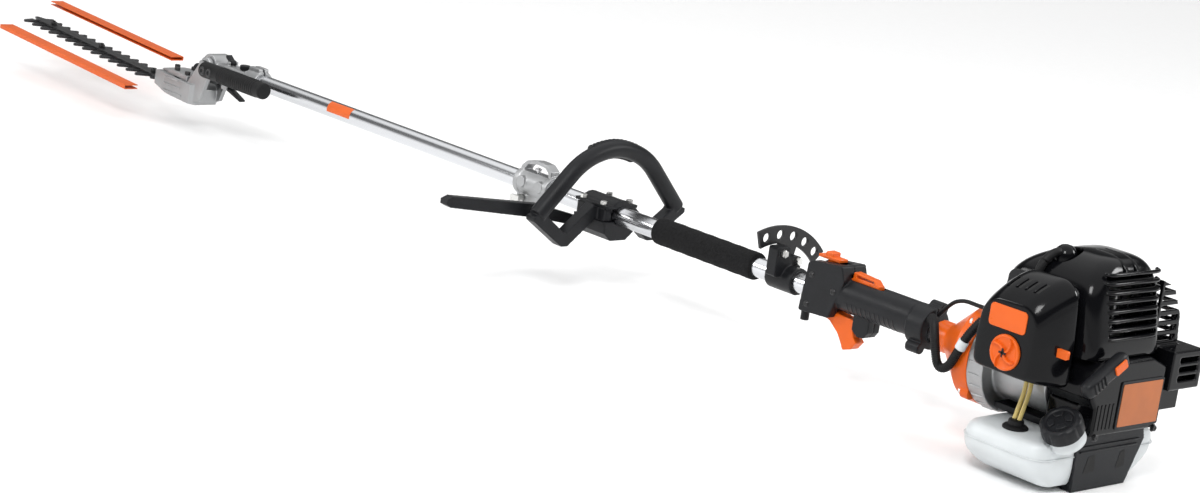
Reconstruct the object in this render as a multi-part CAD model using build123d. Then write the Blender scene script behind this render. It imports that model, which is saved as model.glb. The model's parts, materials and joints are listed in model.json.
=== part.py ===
from build123d import *
import math
import os

os.makedirs("parts", exist_ok=True)

# Petrol long-reach hedge trimmer, drawn in millimetres.
# +X runs back along the shaft to the engine, -Y is the operator's left, +Z is up.
# Sub-parts are drawn about the shaft axis, and are lifted by AXIS_HEIGHT on export, so that
# the origin lies on the underside of the engine stand, below the cylinder.

# ---- driving dimensions ----
AXIS_HEIGHT = 112.0        # shaft axis above the stand's underside
TUBE_R = 13.0              # both shaft tubes, outside radius
TUBE_WALL = 1.6
SHAFT_R = 3.5              # drive shafts, outside radius
FIT = 0.05                 # radial clearance of a running fit
GAP = 0.4                  # clearance between pieces that only pass each other

PIVOT_X = -1690.0          # head pivot, on the shaft axis
HEAD_RISE = 2.7            # degrees that the blade points up from the shaft at rest
BLADE_Z = -61.5            # middle plane of the blades, below the shaft axis
BLADE_TIP_X = -2254.0
TOOTH_PITCH = 28.0
TOOTH_COUNT = 14
TOOTH_REACH = 29.0         # tooth tips from the blade's middle line
BLADE_T = 2.0

UPPER_TUBE_X0 = -1600.0
UPPER_TUBE_X1 = -872.0
LOWER_TUBE_X0 = -870.0
LOWER_TUBE_X1 = -140.0
COUPLER_X0 = -926.0
COUPLER_X1 = -857.0
LOOP_X = -748.0            # plane of the loop handle
CLAMP_X0 = -785.0
CLAMP_X1 = -721.0
FOAM_X0 = -644.0
FOAM_X1 = -461.0
STRAP_X0 = -432.0
STRAP_X1 = -388.0
HANDLE_X0 = -366.0         # rear handle, front of its switch box
HANDLE_X1 = -163.0
FLANGE_X = -62.0           # joint between clutch housing and crankcase

BORE_R = 22.0              # engine cylinder
CRANK_THROW = 16.0
FLYWHEEL_R = 50.0
PULLEY_R = 30.0
STARTER_GRIP = (-38.0, 28.0)      # rope eyelet in Y and Z


# ---- shape helpers ----
def block(x0, x1, y0, y1, z0, z1, fillet_r=0.0, along=None):
    """Box between two corners; fillet_r rounds the edges along one axis, or all of them."""
    body = Pos((x0 + x1) / 2, (y0 + y1) / 2, (z0 + z1) / 2) * Box(x1 - x0, y1 - y0, z1 - z0)
    if fillet_r > 0:
        edges = body.edges() if along is None else body.edges().filter_by(along)
        body = fillet(edges, fillet_r)
    return body


def rod_x(x0, x1, r, y=0.0, z=0.0):
    return Pos((x0 + x1) / 2, y, z) * Rot(0, 90, 0) * Cylinder(r, x1 - x0)


def rod_y(y0, y1, r, x=0.0, z=0.0):
    return Pos(x, (y0 + y1) / 2, z) * Rot(90, 0, 0) * Cylinder(r, y1 - y0)


def rod_z(z0, z1, r, x=0.0, y=0.0):
    return Pos(x, y, (z0 + z1) / 2) * Cylinder(r, z1 - z0)


def cone_x(x0, x1, r0, r1):
    return Pos((x0 + x1) / 2, 0, 0) * Rot(0, 90, 0) * Cone(r0, r1, x1 - x0)


def tube_x(x0, x1, r, wall):
    return rod_x(x0, x1, r) - rod_x(x0 - 1, x1 + 1, r - wall)


def extrude_y(points_xz, y0, y1):
    """Straight-sided outline in X and Z, from y0 to y1."""
    face = Plane.XZ * make_face(Polyline(*points_xz, close=True))
    return Pos(0, y1, 0) * extrude(face, y1 - y0)


def extrude_x(points_yz, x0, x1):
    face = Plane.YZ * make_face(Polyline(*points_yz, close=True))
    return Pos(x0, 0, 0) * extrude(face, x1 - x0)


def extrude_z(points_xy, z0, z1):
    face = make_face(Polyline(*points_xy, close=True))
    return Pos(0, 0, z0) * extrude(face, z1 - z0)


def along(points, radii, section_r):
    """Round bar along straight runs that are joined by tangent arcs."""
    path = FilletPolyline(*points, radius=radii) if radii else Polyline(*points)
    start = Plane(origin=path @ 0, z_dir=path % 0)
    return sweep(start * Circle(section_r), path=path)


def hex_x(x0, x1, flats, y=0.0, z=0.0):
    return Pos(x0, y, z) * Rot(0, 90, 0) * extrude(RegularPolygon(flats / 2, 6, major_radius=False), x1 -
                                                   x0)


def hex_z(z0, z1, flats, x=0.0, y=0.0):
    return Pos(x, y, z0) * extrude(RegularPolygon(flats / 2, 6, major_radius=False), z1 - z0)


def save(node, shape):
    export_step(Pos(0, 0, AXIS_HEIGHT) * shape, f"parts/{node}.step")


def save_head(node, shape):
    """Head pieces are drawn level, then turned up about the pivot by HEAD_RISE."""
    turned = Pos(PIVOT_X, 0, 0) * Rot(0, HEAD_RISE, 0) * Pos(-PIVOT_X, 0, 0) * shape
    save(node, turned)


# ---- cutting head ----
CASE_X0 = -1832.0
CASE_X1 = -1704.0
CASE_TOP = -38.0
CASE_BOTTOM = -70.0
CASE_HALF_Y = 28.0
CRANK_X = -1763.0
ECCENTRIC_THROW = 6.0
CAVITY_R = 24.0
KNUCKLE_R = 20.0
KNUCKLE_HALF_Y = 15.5
CHEEK_Y0 = 16.0
CHEEK_Y1 = 23.0
GUIDE_T = 3.0
GUIDE_Z0 = BLADE_Z + BLADE_T + 0.2
BLADE_SCREWS = (-2190.0, -2031.0, -1866.0)
ECCENTRIC_R = 7.0
YOKE_HALF_X = ECCENTRIC_R + 2 * ECCENTRIC_THROW + 6.0
YOKE_HALF_Y = ECCENTRIC_R + ECCENTRIC_THROW + 0.5
PLUNGER_Z = -17.0
KNOB_SEAT_Z = 9.5


def gear_case():
    """Lower casting: crank cavity, blade slot and the two cheeks that carry the pivot."""
    outline = [(CASE_X0, CASE_TOP - 4), (CASE_X0 + 18, CASE_TOP), (CASE_X1 - 6, CASE_TOP),
               (CASE_X1, CASE_TOP - 6),
               (CASE_X1, CASE_BOTTOM + 4), (CASE_X1 - 5, CASE_BOTTOM), (CASE_X0 + 55, CASE_BOTTOM),
               (CASE_X0, CASE_BOTTOM + 5)]
    plan = [(CASE_X0, -20), (CASE_X0 + 40, -CASE_HALF_Y), (CASE_X1 - 14, -CASE_HALF_Y), (CASE_X1, -16),
            (CASE_X1, 16), (CASE_X1 - 14, CASE_HALF_Y), (CASE_X0 + 40, CASE_HALF_Y), (CASE_X0, 20)]
    body = extrude_y(outline, -CASE_HALF_Y, CASE_HALF_Y) & extrude_z(plan, CASE_BOTTOM - 1, CASE_TOP + 1)
    web = [(PIVOT_X - 14, 6), (PIVOT_X - 46, CASE_TOP - 1), (PIVOT_X - 22, CASE_BOTTOM + 4),
           (PIVOT_X - 6, CASE_BOTTOM + 10), (PIVOT_X + 14, -8)]
    for side in (-1, 1):
        y0, y1 = sorted((side * CHEEK_Y0, side * CHEEK_Y1))
        body = body + rod_y(y0, y1, 15, PIVOT_X, 0) + extrude_y(web, y0, y1)
    boss_z0 = CASE_TOP - 1
    body = body + rod_x(PIVOT_X - 42, PIVOT_X - 22, 8, 0, PLUNGER_Z)
    body = body + block(PIVOT_X - 42, PIVOT_X - 24, -7, 7, boss_z0, PLUNGER_Z)
    # slot for the blades, and the crank's cavity
    body = body - block(CASE_X0 - 1, CRANK_X + 44, -16.5, 16.5, BLADE_Z - BLADE_T - 0.5, GUIDE_Z0 +
                        GUIDE_T + 0.3)
    body = body - rod_z(BLADE_Z - 6, CASE_TOP + 1, CAVITY_R, CRANK_X, 0)
    # the knuckle's room, the pivot holes and the plunger's hole
    body = body - rod_y(-CHEEK_Y0, CHEEK_Y0, KNUCKLE_R + 1, PIVOT_X, 0)
    body = body - rod_y(-CHEEK_Y1 - 1, CHEEK_Y1 + 1, 6.0, PIVOT_X, 0)
    body = body - rod_x(PIVOT_X - 50, PIVOT_X - 10, 3.0 + FIT, 0, PLUNGER_Z)
    # bracket for the tilt handle on the operator's left
    bracket = block(PIVOT_X - 10, PIVOT_X + 60, -CHEEK_Y1 - 6, -CHEEK_Y1 + 1, -8, 8, 3, Axis.Y)
    return body + (bracket - rod_y(-CHEEK_Y1 - 1, CHEEK_Y1 + 1, 6.0, PIVOT_X, 0))


def gear_case_cover():
    x1 = CRANK_X + CAVITY_R + 1.5
    plan = [(CASE_X0 + 8, -14), (CASE_X0 + 40, -22), (x1, -22), (x1, 22), (CASE_X0 + 40, 22),
            (CASE_X0 + 8, 14)]
    slope = [(CASE_X0 + 8, CASE_TOP), (CASE_X0 + 24, -33), (CASE_X0 + 52, -29), (x1, -29), (x1, CASE_TOP)]
    lid = extrude_z(plan, CASE_TOP, -28) & extrude_y(slope, -30, 30)
    return lid - rod_z(CASE_TOP - 1, CASE_TOP + 4, CAVITY_R - 3, CRANK_X, 0)


def guide_bar():
    x0 = BLADE_TIP_X + 24
    bar = block(x0, CRANK_X - 32, -10, 10, GUIDE_Z0, GUIDE_Z0 + GUIDE_T)
    nose = [(x0 - 20, -3), (x0, -10), (x0, 10), (x0 - 20, 3)]
    bar = bar + extrude_z(nose, GUIDE_Z0, GUIDE_Z0 + GUIDE_T)
    for x in BLADE_SCREWS:
        bar = bar - rod_z(GUIDE_Z0 - 1, GUIDE_Z0 + GUIDE_T + 1, 2.5, x)
    return bar


def blade(lower):
    """Flat reciprocating blade: a spine with swept teeth on both sides and a yoke over its eccentric."""
    z0 = BLADE_Z - BLADE_T - 0.1 if lower else BLADE_Z + 0.05
    z1 = z0 + BLADE_T
    body = block(BLADE_TIP_X + 12, CRANK_X + 34, -9, 9, z0, z1)
    for i in range(TOOTH_COUNT):
        x = BLADE_TIP_X + 14 + i * TOOTH_PITCH
        for side in (-1, 1):
            tooth = [(x - 9, side * 8), (x - 3, side * TOOTH_REACH), (x + 2, side * TOOTH_REACH),
                     (x + 10, side * 8)]
            body = body + extrude_z(tooth, z0, z1)
    body = body + block(CRANK_X - 30, CRANK_X + 34, -16, 16, z0, z1)
    body = body - block(CRANK_X - YOKE_HALF_X, CRANK_X + YOKE_HALF_X, -YOKE_HALF_Y, YOKE_HALF_Y, z0 - 1,
                        z1 + 1)
    for x in BLADE_SCREWS:
        body = body - block(x - 10, x + 10, -4, 4, z0 - 1, z1 + 1)
    return body


def blade_bolts():
    """Shoulder bolts with lock nuts through the guide bar and the blades' slots, and the cover's screws."""
    bolts = []
    low = BLADE_Z - BLADE_T - 0.4
    for x in BLADE_SCREWS:
        shank = rod_z(low, GUIDE_Z0 + GUIDE_T + 7, 2.45, x)
        head = rod_z(low - 3, low, 6.0, x)
        nut = hex_z(GUIDE_Z0 + GUIDE_T + 0.05, GUIDE_Z0 + GUIDE_T + 5, 9, x)
        bolts.append(shank + head + nut)
    for x, y, seat in ((-1800, 0, -31.0), (-1776, -16, -28.9), (-1776, 16, -28.9), (-1746, -16, -28.9),
                       (-1746, 16, -28.9)):
        bolts.append(hex_z(seat, seat + 5, 8, x, y))
    return Compound(bolts)


def crank_gear():
    """Toothed disc on the vertical crank shaft, with one eccentric for each blade, half a turn apart."""
    disc = rod_z(-52, -45, 17, CRANK_X)
    teeth = 24
    for i in range(teeth):
        disc = disc + Pos(CRANK_X, 0, 0) * Rot(0, 0, i * 360 / teeth) * block(16, 20, -1.3, 1.3, -52, -45)
    hub = rod_z(-45, CASE_TOP + 3, 8, CRANK_X)
    low = rod_z(BLADE_Z - BLADE_T - 0.1, BLADE_Z - 0.1, ECCENTRIC_R, CRANK_X + ECCENTRIC_THROW)
    high = rod_z(BLADE_Z, BLADE_Z + BLADE_T + 0.1, ECCENTRIC_R, CRANK_X - ECCENTRIC_THROW)
    return disc + hub + high + low + rod_z(BLADE_Z - BLADE_T - 2, -52, 5, CRANK_X)


GRIP_Y = -42.0
GRIP_Z = 1.0
GRIP_R = 13.0
GRIP_X0 = PIVOT_X + 26
GRIP_X1 = PIVOT_X + 193


def tilt_handle():
    """Rubber grip beside the shaft, for tilting the head; its front end is flat where it is bolted."""
    grip = rod_x(GRIP_X0, GRIP_X1, GRIP_R, GRIP_Y, GRIP_Z)
    grip = fillet(grip.edges(), 3)
    flat_y = -CHEEK_Y1 - 6.05
    return grip - block(GRIP_X0 - 1, GRIP_X0 + 40, flat_y, flat_y + 20, -20, 20)


def index_plunger():
    """Spring plunger that locks the head; it is drawn pulled back, clear of the knuckle."""
    pin = rod_x(PIVOT_X - 46, PIVOT_X - 17, 3.0, 0, PLUNGER_Z)
    return pin + fillet(rod_x(PIVOT_X - 55, PIVOT_X - 42.4, 8.5, 0, PLUNGER_Z).edges(), 1.5)


# ---- blade covers, shown beside the blade ----
COVER_L = 404.0
COVER_W = 25.0
COVER_H = 7.2
COVER_WALL = 1.3
LEFT_COVER = (-2199.0, -100.0)     # front end, outer edge
RIGHT_COVER = (-2376.0, 127.0)


def blade_cover(front_x, outer_y, side):
    """U-shaped channel, open towards the blade: side is -1 on the left and 1 on the right."""
    z_mid = BLADE_Z
    inner_y = outer_y - side * COVER_W
    y0, y1 = sorted((outer_y, inner_y))
    shell = block(front_x, front_x + COVER_L, y0, y1, z_mid - COVER_H / 2, z_mid + COVER_H / 2, 1.2, Axis.X)
    h0, h1 = sorted((outer_y - side * COVER_WALL, inner_y - side * 2))
    return shell - block(front_x - 1, front_x + COVER_L + 1, h0, h1, z_mid - COVER_H / 2 + COVER_WALL,
                         z_mid + COVER_H / 2 - COVER_WALL)


# ---- attachment: upper tube and the head's pivot housing ----
def pivot_housing():
    """Casting on the upper tube's front end: collar, neck and the knuckle that the head turns on."""
    knuckle = rod_y(-KNUCKLE_HALF_Y, KNUCKLE_HALF_Y, KNUCKLE_R, PIVOT_X, 0)
    neck = block(PIVOT_X, -1588, -13.5, 13.5, -15, KNOB_SEAT_Z, 4, Axis.X)
    collar = rod_x(-1592, -1560, 17.5) + block(-1590, -1562, -9, 9, 12, 22, 3, Axis.Y)
    body = knuckle + neck + collar
    body = body - rod_x(UPPER_TUBE_X0, -1555, TUBE_R) - block(-1592.5, -1559, -1.5, 1.5, 8, 25)
    body = body - rod_x(PIVOT_X, UPPER_TUBE_X0 + 1, PINION_R + 0.6)
    body = body - rod_y(-11, 11, 15, PIVOT_X, 0)
    # trunnions
    body = body + rod_y(11, CHEEK_Y1 + 1, 5.9, PIVOT_X, 0) + rod_y(-CHEEK_Y1 - 1, -11, 5.9, PIVOT_X, 0)
    return body - rod_z(6.8, 13, 2.5 + FIT, COLLAR_KNOB_X)




PINION_R = 6.0
COLLAR_KNOB_X = -1613.0
RELEASE_X = -1648.0
LOCK_X = -1652.0


def upper_drive_shaft():
    """Shaft with its bevel pinion in front and the square end that enters the lower shaft's socket."""
    shaft = rod_x(-1672, -894, SHAFT_R) + block(-895, -873, -2.4, 2.4, -2.4, 2.4)
    pinion = cone_x(-1678, -1668, 3.0, 5.0)
    tooth = extrude_y([(-1678, 2.4), (-1678, 3.6), (-1668, PINION_R), (-1668, 4.4)], -0.7, 0.7)
    for i in range(10):
        pinion = pinion + Rot(i * 36, 0, 0) * tooth
    return shaft + pinion


def tilt_release_lever():
    x, z = RELEASE_X, 14
    tab = extrude_y([(x, z - 3), (x + 3, z + 2), (x - 10, z + 11), (x - 16, z + 9), (x - 14, z + 5)], -4, 4)
    return rod_y(-5, 5, 4, x, z) + tab - rod_y(-6, 6, 1.5 + FIT, x, z)


def release_lever_pin():
    x, z = RELEASE_X, 14
    pin = rod_y(-9, 9, 1.5, x, z)
    for side in (-1, 1):
        y0, y1 = sorted((side * 5.4, side * 9))
        pin = pin + block(x - 3, x + 3, y0, y1, z - 6, z + 2)
    return pin


def tilt_lock_lever():
    x, z = LOCK_X, -25
    arm = extrude_y([(x - 28, z - 2), (x - 26, z - 6), (x, z - 6), (x + 40, z - 17), (x + 42, z - 14),
                     (x + 4, z)], -5, 5)
    return rod_y(-6, 6, 5.5, x, z) + arm - rod_y(-7, 7, 2.0 + FIT, x, z)


def lock_lever_pin():
    x, z = LOCK_X, -25
    pin = rod_y(-10.5, 10.5, 2.0, x, z)
    for side in (-1, 1):
        y0, y1 = sorted((side * 6.5, side * 10.5))
        pin = pin + block(x - 7, x + 7, y0, y1, z - 5, -13)
    return pin


def collar_knob():
    stem = rod_z(7, KNOB_SEAT_Z + 1, 2.5, COLLAR_KNOB_X)
    return stem + fillet(rod_z(KNOB_SEAT_Z + 0.4, KNOB_SEAT_Z + 8, 8.5, COLLAR_KNOB_X).edges(), 1.5)


# ---- coupler ----
LOCK_PIN_X = COUPLER_X0 + 30
WING_X = COUPLER_X0 + 14


def coupler_body():
    """Cast coupler with its clamping lug below and the guard over the lock pin."""
    x0, x1 = COUPLER_X0, COUPLER_X1
    body = rod_x(x0, x1, 18) + rod_x(x0, x0 + 8, 19.5) + rod_x(x1 - 8, x1, 19.5)
    body = body + block(x0 + 2, x1 - 14, -10, 10, -29, -12, 3, Axis.Y)
    for x in (x0 + 18, x1 - 14):
        body = body + rod_y(-21, 0, 8, x, 3)
    hood = [(x0 + 2, 12), (x0 + 2, 22), (x0 + 12, 31), (x0 + 32, 35), (x1 - 16, 34), (x1 - 4, 26),
            (x1 - 4, 12)]
    under = [(x0 + 8, 17), (x0 + 15, 26), (x0 + 33, 30), (x1 - 18, 29), (x1 - 10, 23), (x1 - 10, 17)]
    body = body + (extrude_y(hood, -8, 8) - extrude_y(under, -9, 9))
    body = body - rod_x(x0 - 1, UPPER_TUBE_X1 + 1, TUBE_R + FIT) - rod_x(UPPER_TUBE_X1, x1 + 1, TUBE_R)
    body = body - block(x0 - 1, x1 - 26, -1.2, 1.2, -30, -10)
    return body - rod_z(12, 24, 3.0 + FIT, LOCK_PIN_X) - rod_y(-11, 11, 3.0 + FIT, WING_X, -22)


def coupler_knob():
    """Wing screw across the coupler's clamping slot."""
    wing = block(WING_X - 9, WING_X + 9, -25, -21, -27, -17, 2, Axis.Y)
    return rod_y(-24, 9, 3.0, WING_X, -22) + rod_y(-22, -12, 5.5, WING_X, -22) + wing


def coupler_lock_pin():
    """Spring pin of the coupler, drawn raised, clear of the upper tube."""
    return rod_z(13.35, 24, 3.0, LOCK_PIN_X) + rod_z(20, 22.5, 5.0, LOCK_PIN_X)


def upper_tube():
    return tube_x(UPPER_TUBE_X0, UPPER_TUBE_X1, TUBE_R, TUBE_WALL) - rod_z(9, 15, 3.3, LOCK_PIN_X)


def lower_drive_shaft():
    """Shaft with its square socket in front and the clutch drum at the engine end."""
    shaft = rod_x(-867, -106, SHAFT_R) + rod_x(-893, -865, 7.0)
    shaft = shaft - block(-894, -870, -2.6, 2.6, -2.6, 2.6)
    drum = rod_x(-106, -90, 32) - rod_x(-104, -89, 30)
    return shaft + drum + rod_x(-112, -105, 12)


# ---- loop handle, its clamp and the barrier bar ----
LOOP_R = 12.0


def loop_handle():
    """Round grip arch with flat lower arms that meet in the saddle on the shaft."""
    arch = [(LOOP_X, -127, 0), (LOOP_X, -58, 73), (LOOP_X, 0, 90), (LOOP_X, 58, 73), (LOOP_X, 127, 0)]
    body = along(arch, [100, 90, 100], LOOP_R)
    for side in (-1, 1):
        arm = [(side * 116, 8), (side * 138, 0), (side * 138, -6), (side * 84, -43), (side * 73, -43),
               (side * 18, 2), (side * 18, 16), (side * 30, 16), (side * 80, -25), (side * 112, -2)]
        if side < 0:
            arm.reverse()
        body = body + extrude_x(arm, LOOP_X - 9, LOOP_X + 9)
    body = body + extrude_x([(-27, -8), (27, -8), (27, 10), (-27, 10)], CLAMP_X0 + 4, CLAMP_X1 - 4)
    body = body - rod_x(CLAMP_X0 - 1, CLAMP_X1 + 1, TUBE_R) - block(CLAMP_X0, CLAMP_X1, -14, 14, 0, 30)
    return body - block(CLAMP_X0, CLAMP_X1, -34, 34, 10, 60)


def loop_clamp_upper():
    """Cap of the loop handle's clamp, with a land for each screw."""
    cap = rod_x(CLAMP_X0, CLAMP_X1, 21) & block(CLAMP_X0, CLAMP_X1, -30, 30, 10, 30)
    cap = cap + block(CLAMP_X0, CLAMP_X1, -28, 28, 10, 14) + block(CLAMP_X0 + 5, CLAMP_X1 - 5, -13.5, 13.5,
        4, 12)
    return cap - rod_x(CLAMP_X0 - 1, CLAMP_X1 + 1, TUBE_R)


def loop_clamp_lower():
    """Lower block of the clamp, which also holds the barrier bar's root."""
    body = extrude_x([(-28, -8), (28, -8), (26, -24), (14, -34), (-14, -34), (-26, -24)], CLAMP_X0,
                     CLAMP_X1)
    body = body - rod_x(CLAMP_X0 - 1, CLAMP_X1 + 1, TUBE_R)
    return body - block(BAR_X - BAR_HALF_X - 0.1, BAR_X + BAR_HALF_X + 0.1, -40, 10.1, -27.1, -12)


BAR_X = -775.0
BAR_HALF_X = 7.0


def barrier_bar():
    """Bar to the operator's left that keeps the legs away from the blade."""
    top = [(10, -14), (-20, -14), (-106, 9), (-256, 26), (-266, 22)]
    under = [(-266, 15), (-258, 11), (-106, -10), (-20, -27), (10, -27)]
    return extrude_x(list(reversed(top + under)), BAR_X - BAR_HALF_X, BAR_X + BAR_HALF_X)


def clamp_bolts():
    """Screws of the loop handle's clamp and of the strap clamp."""
    bolts = []
    for x in (CLAMP_X0 + 12, CLAMP_X1 - 12):
        for y in (-23.4, 23.4):
            bolts.append(hex_z(14, 19, 8.5, x, y))
    for y, z in STRAP_BOLTS:
        bolts.append(hex_x(STRAP_BLOCK_X1, STRAP_BLOCK_X1 + 5, 9, y, z))
    return Compound(bolts)


# ---- grips on the lower tube ----
def foam_grip():
    return tube_x(FOAM_X0, FOAM_X1, 18.0, 5.0)


STRAP_ROLL = -14.0         # the strap plate leans to the operator's right
PLATE_X = -422.0
STRAP_BLOCK_X1 = -404.0
STRAP_BOLTS = ((-19.0, 34.0), (9.0, 22.5))
HOLE_RING_R = 104.0
HOLE_RING_Z = -52.0
HOLE_STEP = 13.5           # degrees between the five holes
HOLE_R = 6.0


def strap_clamp():
    band = rod_x(STRAP_X0, STRAP_X1, 17.5)
    upright = block(PLATE_X + 2.1, STRAP_BLOCK_X1, -30, -6, 4, 42, 3, Axis.X)
    lug = block(PLATE_X + 2.1, STRAP_BLOCK_X1, -8, 16, 10, 28, 3, Axis.X)
    return band + upright + lug - rod_x(STRAP_X0 - 1, STRAP_X1 + 1, TUBE_R)


def strap_hook_plate():
    """Arched steel plate with five holes for the harness hook."""
    ring = Pos(0, HOLE_RING_Z) * (Circle(HOLE_RING_R + 12) - Circle(HOLE_RING_R - 11))
    wedge = make_face(Polyline((0, HOLE_RING_Z), (74, HOLE_RING_Z + 110), (0, 80),
                               (-74, HOLE_RING_Z + 110), close=True))
    outline = (ring & wedge) + Pos(-5, 32) * Rectangle(34, 27)
    for i in range(5):
        angle = math.radians(90 + (i - 2) * HOLE_STEP)
        y, z = HOLE_RING_R * math.cos(angle), HOLE_RING_Z + HOLE_RING_R * math.sin(angle)
        outline = outline - Pos(y, z) * Circle(HOLE_R)
    plate = extrude(Plane.YZ * outline, 4)
    return Rot(STRAP_ROLL, 0, 0) * Pos(PLATE_X - 2, 0, 0) * plate


# ---- rear handle ----
GRIP_AXIS_Z = 8.0
GRIP_HALF = 22.0
TRIGGER_PIVOT = (-332.0, -20.0)
LOCKOUT_PIVOT = (-300.0, 24.0)


def handle_outline():
    """Outside of both shells: switch box, round grip, end collar, trigger guard and front post."""
    box = extrude_y([(-364, -27), (-358, 36), (-350, 40), (-303, 45), (-296, 26), (-314, -24)], -GRIP_HALF,
                    GRIP_HALF)
    box = fillet(box.edges().filter_by(Axis.Y), 3)
    grip = rod_x(-318, HANDLE_X1 - 24, GRIP_HALF, 0, GRIP_AXIS_Z)
    collar = rod_x(HANDLE_X1 - 26, HANDLE_X1, 26, 0, 4)
    for y, z in ((-20, -19), (13, 28)):
        collar = collar + rod_x(HANDLE_X1 - 20, HANDLE_X1, 7, y, z)
    guard = extrude_y([(-282, -8), (-256, -8), (-256, -28), (-262, -36), (-272, -37), (-282, -30)], -11, 11)
    return box + grip + collar + guard + rod_z(-42, -18, 5.5, -366, -4)


def handle_shell(side):
    shell = handle_outline() & block(-400, -150, *sorted((0, side * 40)), -80, 80)
    # room inside for the tube, the switch and the two levers
    shell = shell - rod_x(-380, -160, TUBE_R)
    shell = shell - block(-354, -308, *sorted((0, side * (GRIP_HALF - 3))), 14, 36)
    shell = shell - block(-350, -262, *sorted((0, side * 8.5)), -40, -12)
    shell = shell - block(-306, -246, *sorted((0, side * 6.5)), 14, 34)
    return shell - block(-357, -311, *sorted((0, side * 8.5)), 30, 50)


def handle_pins():
    """Pins of the trigger and the lockout, moulded with the right-hand shell."""
    return [rod_y(-8.5, 8.5, 2.0, *TRIGGER_PIVOT), rod_y(-6.5, 8.5, 2.0, *LOCKOUT_PIVOT)]


def trigger():
    x, z = TRIGGER_PIVOT
    outline = [(x - 12, z + 1), (x - 6, z + 3), (x + 8, z + 3), (x + 49, z + 0.5), (x + 49, z - 10),
               (x + 52, z - 20),
               (x + 58, z - 26), (x + 50, z - 36), (x + 38, z - 40), (x + 33, z - 32), (x + 26, z - 22),
               (x + 10, z - 10), (x - 8, z - 6)]
    return extrude_y(list(reversed(outline)), -8, 8) - rod_y(-9, 9, 2.0 + FIT, x, z)


def lockout_lever():
    x, z = LOCKOUT_PIVOT
    base = extrude_y([(x - 5, z - 5), (x - 5, z + 4), (x + 4, z + 7), (x + 46, z + 7), (x + 46, z + 2),
                      (x + 6, z - 5)], -6, 6)
    arch = extrude_y([(x + 3, z + 6), (x + 4, z + 15), (x + 38, z + 13), (x + 46, z + 6)], -6, 6)
    arch = arch - extrude_y([(x + 8, z + 8.5), (x + 9, z + 12), (x + 37, z + 10.5), (x + 40, z + 8.5)], -7,
                            7)
    return base + arch - rod_y(-7, 7, 2.0 + FIT, x, z)


def stop_switch():
    slider = block(-356, -320, -8, 8, 43.4, 47, 1.5, Axis.Z)
    stem = block(-342, -330, -5, 5, 32, 44)
    return slider + stem + fillet(block(-345, -333, -7, 7, 45, 53).edges().group_by(Axis.Z)[-1], 2)


# ---- control cables between the rear handle and the engine ----
CONDUIT_POINTS = ((HANDLE_X1 + 3.6, -15, 18), (-148, -26, 27), (-128, -46, 22), (-110, -61, 2),
                  (-98, -66, -18),
                  (-82, -67, -14), (-72, -67, 8), (-62, -65, 34), (-50, -60, 52))
THROTTLE_POINTS = ((HANDLE_X1 + 2.4, 0, 22), (-140, -8, 44), (-112, -20, 56), (-78, -36, 60),
                   (-48, -42, 62))


def bend_radii(points):
    """Largest tangent arc that each corner's two runs leave room for."""
    radii = []
    for a, b, c in zip(points, points[1:], points[2:]):
        first, second = Vector(b) - Vector(a), Vector(c) - Vector(b)
        turn = math.radians(first.get_angle(second))
        radii.append(0.45 * min(first.length, second.length) / math.tan(turn / 2))
    return radii


def control_cables():
    solids = []
    for points, r in ((CONDUIT_POINTS, 5.0), (THROTTLE_POINTS, 2.5)):
        solids.append(along(points, bend_radii(points), r))
    return Compound(solids)


# ---- engine ----
def clutch_housing():
    """Orange bell between the shaft tube and the crankcase, flanged for four bolts."""
    outer = rod_x(-152, -132, 19) + cone_x(-132, -84, 19, 60) + rod_x(-84, FLANGE_X, 60)
    for i in range(4):
        angle = math.radians(45 + 90 * i)
        outer = outer + rod_x(-74, FLANGE_X, 8, 58 * math.cos(angle), 58 * math.sin(angle))
    outer = outer - rod_x(-153, LOWER_TUBE_X1, TUBE_R) - rod_x(LOWER_TUBE_X1 - 1, -112, 12.6)
    return outer - cone_x(-122, -86, 19, 53) - rod_x(-86.1, FLANGE_X + 1, 56)


def crankcase():
    """Fan housing in front, crank chamber behind it, and the cylinder's seat on top."""
    body = rod_x(FLANGE_X, -38, 60) + rod_x(-38, 40, 42) + block(-36, 36, -36, 36, 20, 46)
    body = body - rod_x(FLANGE_X - 1, -50, 54) - rod_x(-22, 22, 30) - rod_z(20, 47, 23)
    return body - rod_x(-60, 50, 6.0 + FIT) - block(FLANGE_X + 2, -52, -30, 30, 50, 62)


def crankshaft():
    shaft = rod_x(-103, -5, 6.0) + rod_x(5, 66, 6.0)
    for x in (-14, 5):
        shaft = shaft + rod_x(x, x + 9, 26)
    return shaft + rod_x(-6, 6, 5.0, 0, CRANK_THROW)


def flywheel():
    """Finned magnet wheel, with the clutch's two shoes bolted to its front."""
    wheel = rod_x(-80, -58, 22) + rod_x(-68, -58, FLYWHEEL_R)
    for i in range(16):
        wheel = wheel + Rot(i * 22.5, 0, 0) * block(-80, -67, -1.5, 1.5, 24, FLYWHEEL_R - 1)
    wheel = wheel + tube_x(-74, -67, 25, 4) - rod_x(-90, -50, 6.0)
    shoes = []
    for side in (-1, 1):
        ring = rod_x(-103, -92, 28.5) - rod_x(-104, -91, 16)
        shoes.append(ring & block(-104, -91, -40, 40, *sorted((side * 2, side * 40))))
    hub = rod_x(-98, -80, 12) - rod_x(-99, -79, 6.0)
    return Compound([wheel + hub] + shoes)


def cylinder():
    body = rod_z(46, 112, 27)
    for i in range(9):
        z = 52 + i * 7
        body = body + block(-37, 37, -37, 37, z, z + 2.5, 8, Axis.Z)
    body = body + block(-30, 30, -30, 30, 112, 118) - rod_z(45, 100, BORE_R)
    body = body - rod_y(-38, -20, 7, 0, 66) - rod_y(20, 38, 8, 0, 70)
    return body - rod_z(96, 120, 6.0, 14, -14)


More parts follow.
